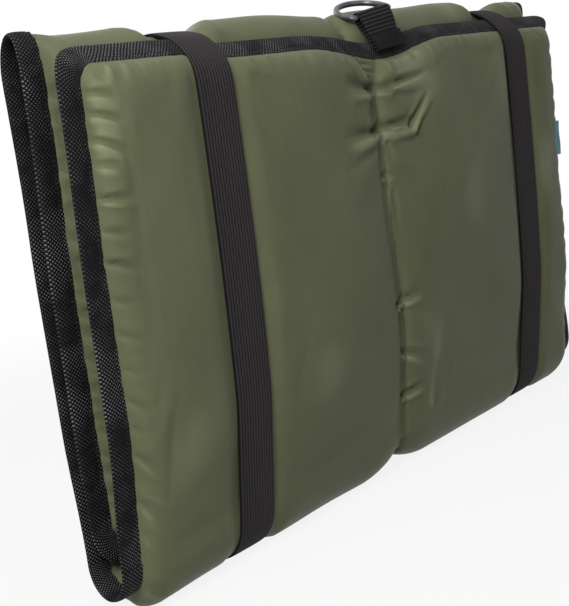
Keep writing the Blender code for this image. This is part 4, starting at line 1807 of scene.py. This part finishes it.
    def add_stitches(self, middles: Array, outs: Array, thread: Material) -> None:
        """Rows of thread across the ends of the join, each stitch a small ball drawn long.

        Args:
            middles: middle of the elastic at each row.
            outs: outward direction at each row.
            thread: material of the stitches.
        """
        half = self.strip.strap_half - self.stitch_margin
        lift = 1.5 * self.thickness + self.stitch_lift
        stitches = [point + out * lift + np.array([start + 0.0010, 0.0, 0.0])
                    for point, out in zip(middles, outs)
                    for start in np.arange(-half, half - 0.0014, self.stitch_pitch)]
        deselect()
        bpy.ops.mesh.primitive_uv_sphere_add(segments=8, ring_count=6, radius=1.0)
        seed = bpy.context.object
        ball = read_points(seed) * np.array(self.stitch_size)
        copies = []
        for centre in stitches:
            copy = bpy.data.objects.new(f"{self.name}_stitch", seed.data.copy())
            bpy.context.scene.collection.objects.link(copy)
            copy.data.vertices.foreach_set("co", (ball + centre).astype(np.float32).ravel())
            copies.append(copy)
        bpy.data.objects.remove(seed, do_unlink=True)
        deselect()
        for copy in copies:
            copy.select_set(True)
        bpy.context.view_layer.objects.active = copies[0]
        bpy.ops.object.join()
        obj = copies[0]
        obj.name = obj.data.name = f"{self.name}_stitches"
        smooth(obj, 60)
        dress(obj, thread)
        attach(obj, self.name)


# Tab, ring and ribbon


@dataclass(frozen=True)
class TabSizes:
    """Sizes and angles that the tab and its ring share."""

    offset: float = 0.033  # distance of the tab's middle from the channel
    width: float = 0.034
    length: float = 0.030  # from the stitch line to the ring's bar
    thickness: float = 0.0014
    wire: float = 0.0045
    base_thickness: float = 0.0008
    base_room: float = 0.0006
    rise: float = math.radians(66)
    roll: float = math.radians(10)
    ring_rise: float = math.radians(17)


@dataclass(frozen=True)
class TabFrame:
    """Where the tab is stitched down, and how it and its ring point."""

    sizes: TabSizes
    stitch: Vector
    base_axis: Vector
    along: Vector
    normal: Vector
    bar: Vector
    bar_axis: Vector
    bow: Vector

    @classmethod
    def on(cls, strip: Strip, sizes: TabSizes) -> "TabFrame":
        """Work out the frame on the front panel's leaning top edge.

        Args:
            strip: the strip that carries the tab.
            sizes: sizes and angles of the tab and its ring.

        Returns:
            The frame.
        """
        s = strip.tape_width * 0.65
        height = (strip.front_shift + strip.tape_outer + sizes.thickness + sizes.base_room
                  + sizes.base_thickness)
        left, middle, right = (Vector(strip.place(sizes.offset + step, s, height))
                               for step in (-sizes.width / 2, 0.0, sizes.width / 2))
        base = right - left
        base_axis = Vector((base.x, 0.0, base.z)).normalized()

        def rising(angle: float, axis: Vector) -> Vector:
            """The way back and up at an angle, made square to an axis."""
            level = Vector((0.0, math.cos(angle), math.sin(angle)))
            return (level - axis * level.dot(axis)).normalized()

        along = rising(sizes.rise, base_axis)
        bar_axis = Matrix.Rotation(-sizes.roll, 3, along) @ base_axis
        return cls(sizes, middle, base_axis, along, base_axis.cross(along),
                   middle + along * sizes.length, bar_axis, rising(sizes.ring_rise, bar_axis))


@dataclass
class RingTab:
    """Webbing folded round the ring's bar, with a taped and stitched base."""

    frame: TabFrame
    clearance: float = 0.0003
    closed_length: float = 0.010
    cup: float = 0.0005
    patch_height: float = 0.0125
    patch_start: float = -0.0002
    patch_margin: float = 0.0015
    patch_puff: float = 0.0006

    def route(self) -> Array:
        """Middle line of the webbing: distance from the stitch line and height, from back to front."""
        sizes, closed = self.frame.sizes, self.closed_length
        radius = sizes.wire / 2 + self.clearance + sizes.thickness / 2
        base = (sizes.thickness + self.clearance) / 2
        start = sizes.length - sizes.wire
        up = spaced((0.0, sizes.length, 0.0011))
        half = base + (radius - base) * smooth_step((up - closed) / (start - closed))
        turn = np.linspace(0, math.pi, 17)[1:-1]
        back = np.stack([up, -half], -1)
        arc = np.stack([sizes.length + radius * np.sin(turn), -radius * np.cos(turn)], -1)
        front = np.stack([up[::-1], half[::-1]], -1)
        return np.vstack([back, arc, front])

    def place(self, across: Array, distance: Array, height: Array) -> Array:
        """Take points of the tab's own frame to their places.

        Args:
            across: distance from the tab's middle line.
            distance: distance from the stitch line.
            height: height off the tab's middle surface.

        Returns:
            The points, turned more and more towards the ring's bar.
        """
        frame, sizes = self.frame, self.frame.sizes
        start = sizes.length - sizes.wire
        twist = -sizes.roll * np.clip(distance / start, 0, 1)
        along, base, normal = (np.array(v) for v in (frame.along, frame.base_axis, frame.normal))
        side = np.cos(twist)[..., None] * base + np.sin(twist)[..., None] * np.cross(along, base)
        face = np.cos(twist)[..., None] * normal + np.sin(twist)[..., None] * np.cross(along, normal)
        return (np.array(frame.stitch) + along * distance[..., None] + side * across[..., None]
                + face * height[..., None])

    def sheet(self, name: str, across: Array, route: Array, thickness: float,
              material: Material) -> Object:
        """A strip of woven stuff along a route.

        Args:
            name: name of the object.
            across: places across the strip.
            route: distance and height along its length.
            thickness: its thickness.
            material: its material.

        Returns:
            The strip, riding on the tab.
        """
        grid = Grid.add(name, len(across), len(route), False)
        wide, distance = np.meshgrid(across, route[:, 0])
        height = np.repeat(route[:, 1:2], len(across), axis=1)
        cup = self.cup * (wide / across[-1]) ** 4 * np.sign(height)
        grid.shape(self.place(wide, distance, height - cup)[None])
        grid.set_uv(across, distances(route))
        obj = grid.obj
        finish_sheet(obj, thickness, material)
        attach(obj, "ring_tab")
        return obj

    def build(self, webbing: Material, tape: Material) -> None:
        """Build the webbing and the tape over its base.

        Args:
            webbing: material of the tab.
            tape: material of its base.
        """
        sizes, start = self.frame.sizes, self.patch_start
        half, wide = sizes.width / 2, sizes.width / 2 + self.patch_margin
        obj = self.sheet("ring_tab_webbing", np.linspace(-half, half, 19), self.route(),
                         sizes.thickness, webbing)
        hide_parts("ring_tab")
        front = (sizes.thickness + self.clearance) / 2 + sizes.thickness / 2 + 0.0005
        up = spaced((start, self.patch_height, 0.0008))
        share = np.clip((up - start) / (self.patch_height - start), 0, 1)
        route = np.stack([up, front + self.patch_puff * np.sin(np.pi * share)], -1)
        patch = self.sheet("ring_tab_base", np.linspace(-wide, wide, 25), route,
                           sizes.base_thickness, tape)
        log.info("ring tab: %d faces", len(obj.data.polygons))


@dataclass
class DRing:
    """Bent wire: a straight bar in the webbing, rounded corners and a round bow."""

    frame: TabFrame
    side_gap: float = 0.002
    depth: float = 0.029
    straight_share: float = 0.25
    corner: float = 0.0035
    stations: int = 120
    profile: int = 16

    def path(self) -> Array:
        """Middle line of the wire: across the tab and outwards, evenly spaced and closed."""
        sizes = self.frame.sizes
        half = sizes.width / 2 + self.side_gap + sizes.wire / 2
        straight = self.depth * self.straight_share
        corner = np.linspace(0, math.pi / 2, 9)
        right = np.stack([half - self.corner + self.corner * np.sin(corner),
                          self.corner - self.corner * np.cos(corner)], -1)
        bow = np.linspace(0, math.pi, 61)
        arc = np.stack([half * np.cos(bow), straight + (self.depth - straight) * np.sin(bow)], -1)
        left = right[::-1] * np.array([-1.0, 1.0])
        line = np.vstack([right, arc, left, right[:1]])
        run = distances(line)
        places = np.linspace(0, run[-1], self.stations, endpoint=False)
        return np.stack([np.interp(places, run, line[:, k]) for k in (0, 1)], -1)

    def build(self, metal: Material) -> None:
        """Build the ring.

        Args:
            metal: its material.
        """
        frame, path, radius = self.frame, self.path(), self.frame.sizes.wire / 2
        deselect()
        bpy.ops.mesh.primitive_torus_add(major_segments=self.stations, minor_segments=self.profile,
                                         major_radius=0.02, minor_radius=radius)
        obj = bpy.context.object
        obj.name = obj.data.name = "d_ring_wire"
        obj.location = (0.0, 0.0, 0.0)
        axes = np.array([frame.bar_axis, frame.bow])
        middle = np.array(frame.bar) + path @ axes
        out = outward(np.roll(path, -1, 0) - np.roll(path, 1, 0)) @ axes
        up = np.cross(axes[0], axes[1])
        turn = np.linspace(0, TURN, self.profile, endpoint=False)
        ring = (np.cos(turn)[None, :, None] * out[:, None]
                + np.sin(turn)[None, :, None] * up[None, None])
        points = middle[:, None] + ring * radius
        obj.data.vertices.foreach_set("co", points.astype(np.float32).ravel())
        obj.data.update()
        face_out(obj)
        smooth(obj, 60)
        dress(obj, metal)
        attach(obj, "d_ring")
        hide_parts("d_ring")
        log.info("ring: %d faces", len(obj.data.polygons))


@dataclass
class SideRibbon:
    """A short ribbon folded in half, its ends caught in the right-hand seam."""

    strip: Strip
    drop: float = 0.103
    height: float = 0.031
    width: float = 0.010
    thickness: float = 0.001
    gap: float = 0.0003
    lift: float = 0.0016
    wave: float = 0.00025

    def build(self, material: Material) -> None:
        """Build the ribbon.

        Args:
            material: its material.
        """
        strip = self.strip
        share = np.linspace(0, 1, 13)
        rows = np.linspace(self.drop, self.drop + self.height, 19)
        out, s = np.meshgrid(share, rows)
        x = strip.side_seam + self.gap + self.width * out
        wave = self.wave * np.sin((s - self.drop) * 260 + out * 2)
        base = strip.front_shift + strip.tape_outer + self.gap + self.lift * out + wave
        round_off = self.thickness * (0.5 + 0.5 * np.sqrt(np.clip(1 - out ** 8, 0, 1)))
        middle = base + self.thickness / 2
        points = np.stack([strip.place(x, s, middle - round_off / 2, False),
                           strip.place(x, s, middle + round_off / 2, False)])
        grid = Grid.add("side_ribbon_loop", len(share), len(rows), True)
        grid.shape(points)
        grid.set_uv(self.width * share, rows - rows.mean())
        obj = grid.obj
        face_out(obj)
        smooth(obj, 50)
        dress(obj, material)
        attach(obj, "front_panel")
        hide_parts("side_ribbon")
        log.info("ribbon: %d faces", len(obj.data.polygons))


# The scene


@dataclass(frozen=True)
class Studio:
    """Camera, pale floor and soft lamps."""

    position: tuple[float, float, float] = (-0.7423, -0.5424, 0.3141)
    yaw: float = 49.8804
    pitch: float = -10.6695
    roll: float = -7.0692
    focal_pixels: float = 1200.0
    long_side: int = 606
    aim: tuple[float, float, float] = (0.0, 0.0, 0.18)
    glow: float = 0.12
    floor_near: float = 0.87
    floor_more: float = 0.13
    floor_fade: tuple[float, float] = (0.40, 1.0)

    def add_camera(self) -> None:
        """The photograph's viewpoint."""
        yaw, pitch, roll = (math.radians(v) for v in (self.yaw, self.pitch, self.roll))
        forward = Vector((math.sin(yaw) * math.cos(pitch), math.cos(yaw) * math.cos(pitch),
                          math.sin(pitch)))
        level = Vector((math.cos(yaw), -math.sin(yaw), 0.0))
        up = level.cross(forward)
        right = level * math.cos(roll) + up * math.sin(roll)
        top = up * math.cos(roll) - level * math.sin(roll)
        data = bpy.data.cameras.new("camera")
        data.sensor_width = 36.0
        data.lens = self.focal_pixels * data.sensor_width / self.long_side
        data.clip_start, data.clip_end = 0.01, 50.0
        camera = bpy.data.objects.new("camera", data)
        bpy.context.scene.collection.objects.link(camera)
        turn = Matrix((right, top, -forward)).transposed().to_4x4()
        camera.matrix_world = Matrix.Translation(self.position) @ turn
        bpy.context.scene.camera = camera

    def add_lamp(self, name: str, place: tuple[float, float, float], size: float, power: float,
                 colour: Colour = (1.0, 1.0, 1.0)) -> None:
        """A square soft lamp that points at the middle of the mat.

        Args:
            name: its name.
            place: where it hangs.
            size: its width and height.
            power: its power in watts.
            colour: the colour of its light.
        """
        data = bpy.data.lights.new(name, "AREA")
        data.size, data.energy, data.color = size, power, colour
        lamp = bpy.data.objects.new(name, data)
        bpy.context.scene.collection.objects.link(lamp)
        aim = Vector(self.aim) - Vector(place)
        lamp.location = place
        lamp.rotation_euler = aim.to_track_quat("-Z", "Y").to_euler()

    def add_floor(self) -> None:
        """A wide pale floor that shows the mat's soft shadow and turns white further out."""
        deselect()
        bpy.ops.mesh.primitive_grid_add(x_subdivisions=8, y_subdivisions=8, size=12.0,
                                        location=(0, 0, -0.0002))
        floor = bpy.context.object
        floor.name = "studio_floor"
        graph = Graph("studio_floor")
        place = graph.node("ShaderNodeTexCoord", None, None, "Object")
        parts = graph.node("ShaderNodeSeparateXYZ", None, {0: place})
        x, y = parts, Wire(graph, parts.socket.node.outputs[1])
        distance = (x * x + y * y).power(0.5)
        seen = graph.maths("MAXIMUM", graph.maths("MAXIMUM", *(
            graph.node("ShaderNodeLightPath", None, None, ray)
            for ray in ("Is Camera Ray", "Is Glossy Ray"))),
            graph.node("ShaderNodeLightPath", None, None, "Is Transmission Ray"))
        white = graph.node("ShaderNodeEmission", None, {"Color": (1.0, 1.0, 1.0)})
        graph.finish(Base_Color=(0.60, 0.60, 0.60), Roughness=0.9)
        share = seen * (self.floor_near + distance.above(*self.floor_fade) * self.floor_more)
        blend = graph.node("ShaderNodeMixShader", None,
                           {0: share, 1: Wire(graph, graph.shader.outputs[0]), 2: white})
        graph.links.new(blend.socket, graph.nodes["Material Output"].inputs["Surface"])
        dress(floor, graph.material)

    def add_world(self) -> None:
        """A white surround for the camera and even grey light for the mat."""
        world = bpy.data.worlds.new("studio")
        bpy.context.scene.world = world
        world.use_nodes = True
        nodes, links = world.node_tree.nodes, world.node_tree.links
        shade = nodes["Background"]
        rays = nodes.new("ShaderNodeLightPath")
        either, seen = (nodes.new("ShaderNodeMath") for _ in range(2))
        either.operation = seen.operation = "MAXIMUM"
        links.new(rays.outputs["Is Camera Ray"], either.inputs[0])
        links.new(rays.outputs["Is Glossy Ray"], either.inputs[1])
        links.new(either.outputs[0], seen.inputs[0])
        links.new(rays.outputs["Is Transmission Ray"], seen.inputs[1])
        level = nodes.new("ShaderNodeMapRange")
        level.inputs["To Min"].default_value = self.glow
        level.inputs["To Max"].default_value = 1.0
        links.new(seen.outputs[0], level.inputs["Value"])
        links.new(level.outputs[0], shade.inputs["Strength"])
        shade.inputs["Color"].default_value = (1.0, 1.0, 1.0, 1.0)

    def build(self) -> None:
        """Set up the whole studio."""
        self.add_camera()
        self.add_floor()
        self.add_world()
        self.add_lamp("key", (-0.84, -0.42, 0.80), 0.45, 10.5, (1.0, 1.0, 0.97))
        self.add_lamp("top", (-0.20, 0.00, 1.20), 0.6, 3.5, (1.0, 1.0, 0.97))
        self.add_lamp("rim", (0.4, 1.3, 0.9), 0.8, 4.0)
        bpy.context.scene.view_settings.view_transform = "Standard"


def main() -> None:
    """Build every piece in order."""
    logging.basicConfig(level=logging.INFO, format="%(name)s: %(message)s")
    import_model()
    strip = Strip()
    Studio().build()

    nylon = CoatedNylon("outer_cloth").make()
    lining = CoatedNylon("lining_cloth", colour=(0.088, 0.102, 0.056)).make()
    tape = WovenTape().make()
    elastic = RibbedElastic().make()
    thread = SewingThread().make()

    for stretch in Stretch:
        PaddedStretch(strip, stretch, make_creases(strip, stretch, 1),
                      make_creases(strip, stretch, -1)).build(nylon, lining)

    binding = Binding(strip)
    for seed, stretch in ((11, Stretch.FRONT), (12, Stretch.INNER)):
        binding.build(f"{stretch.value}_binding", stretch, binding.free(stretch), seed, tape)
    for stretch in (Stretch.LOWER, Stretch.BACK, Stretch.UPPER):
        for side, side_name in ((-1, "left"), (1, "right")):
            binding.build(f"{stretch.value}_binding_{side_name}", stretch,
                          binding.along(stretch, side), 20 + side, tape)

    Strap(strip, "strap_left", strip.left_strap).build(elastic, thread)
    Strap(strip, "strap_right", strip.right_strap).build(elastic, thread)

    tab_frame = TabFrame.on(strip, TabSizes())
    # The tab's base tape, with a dimmer painted highlight on its floats
    base_tape = WovenTape("base_tape", float_glint_colour=(0.045, 0.043, 0.048)).make()
    RingTab(tab_frame).build(CoarseWebbing().make(), base_tape)
    DRing(tab_frame).build(DarkMetal().make())
    SideRibbon(strip).build(SatinRibbon().make())


if __name__ == "__main__":
    main()
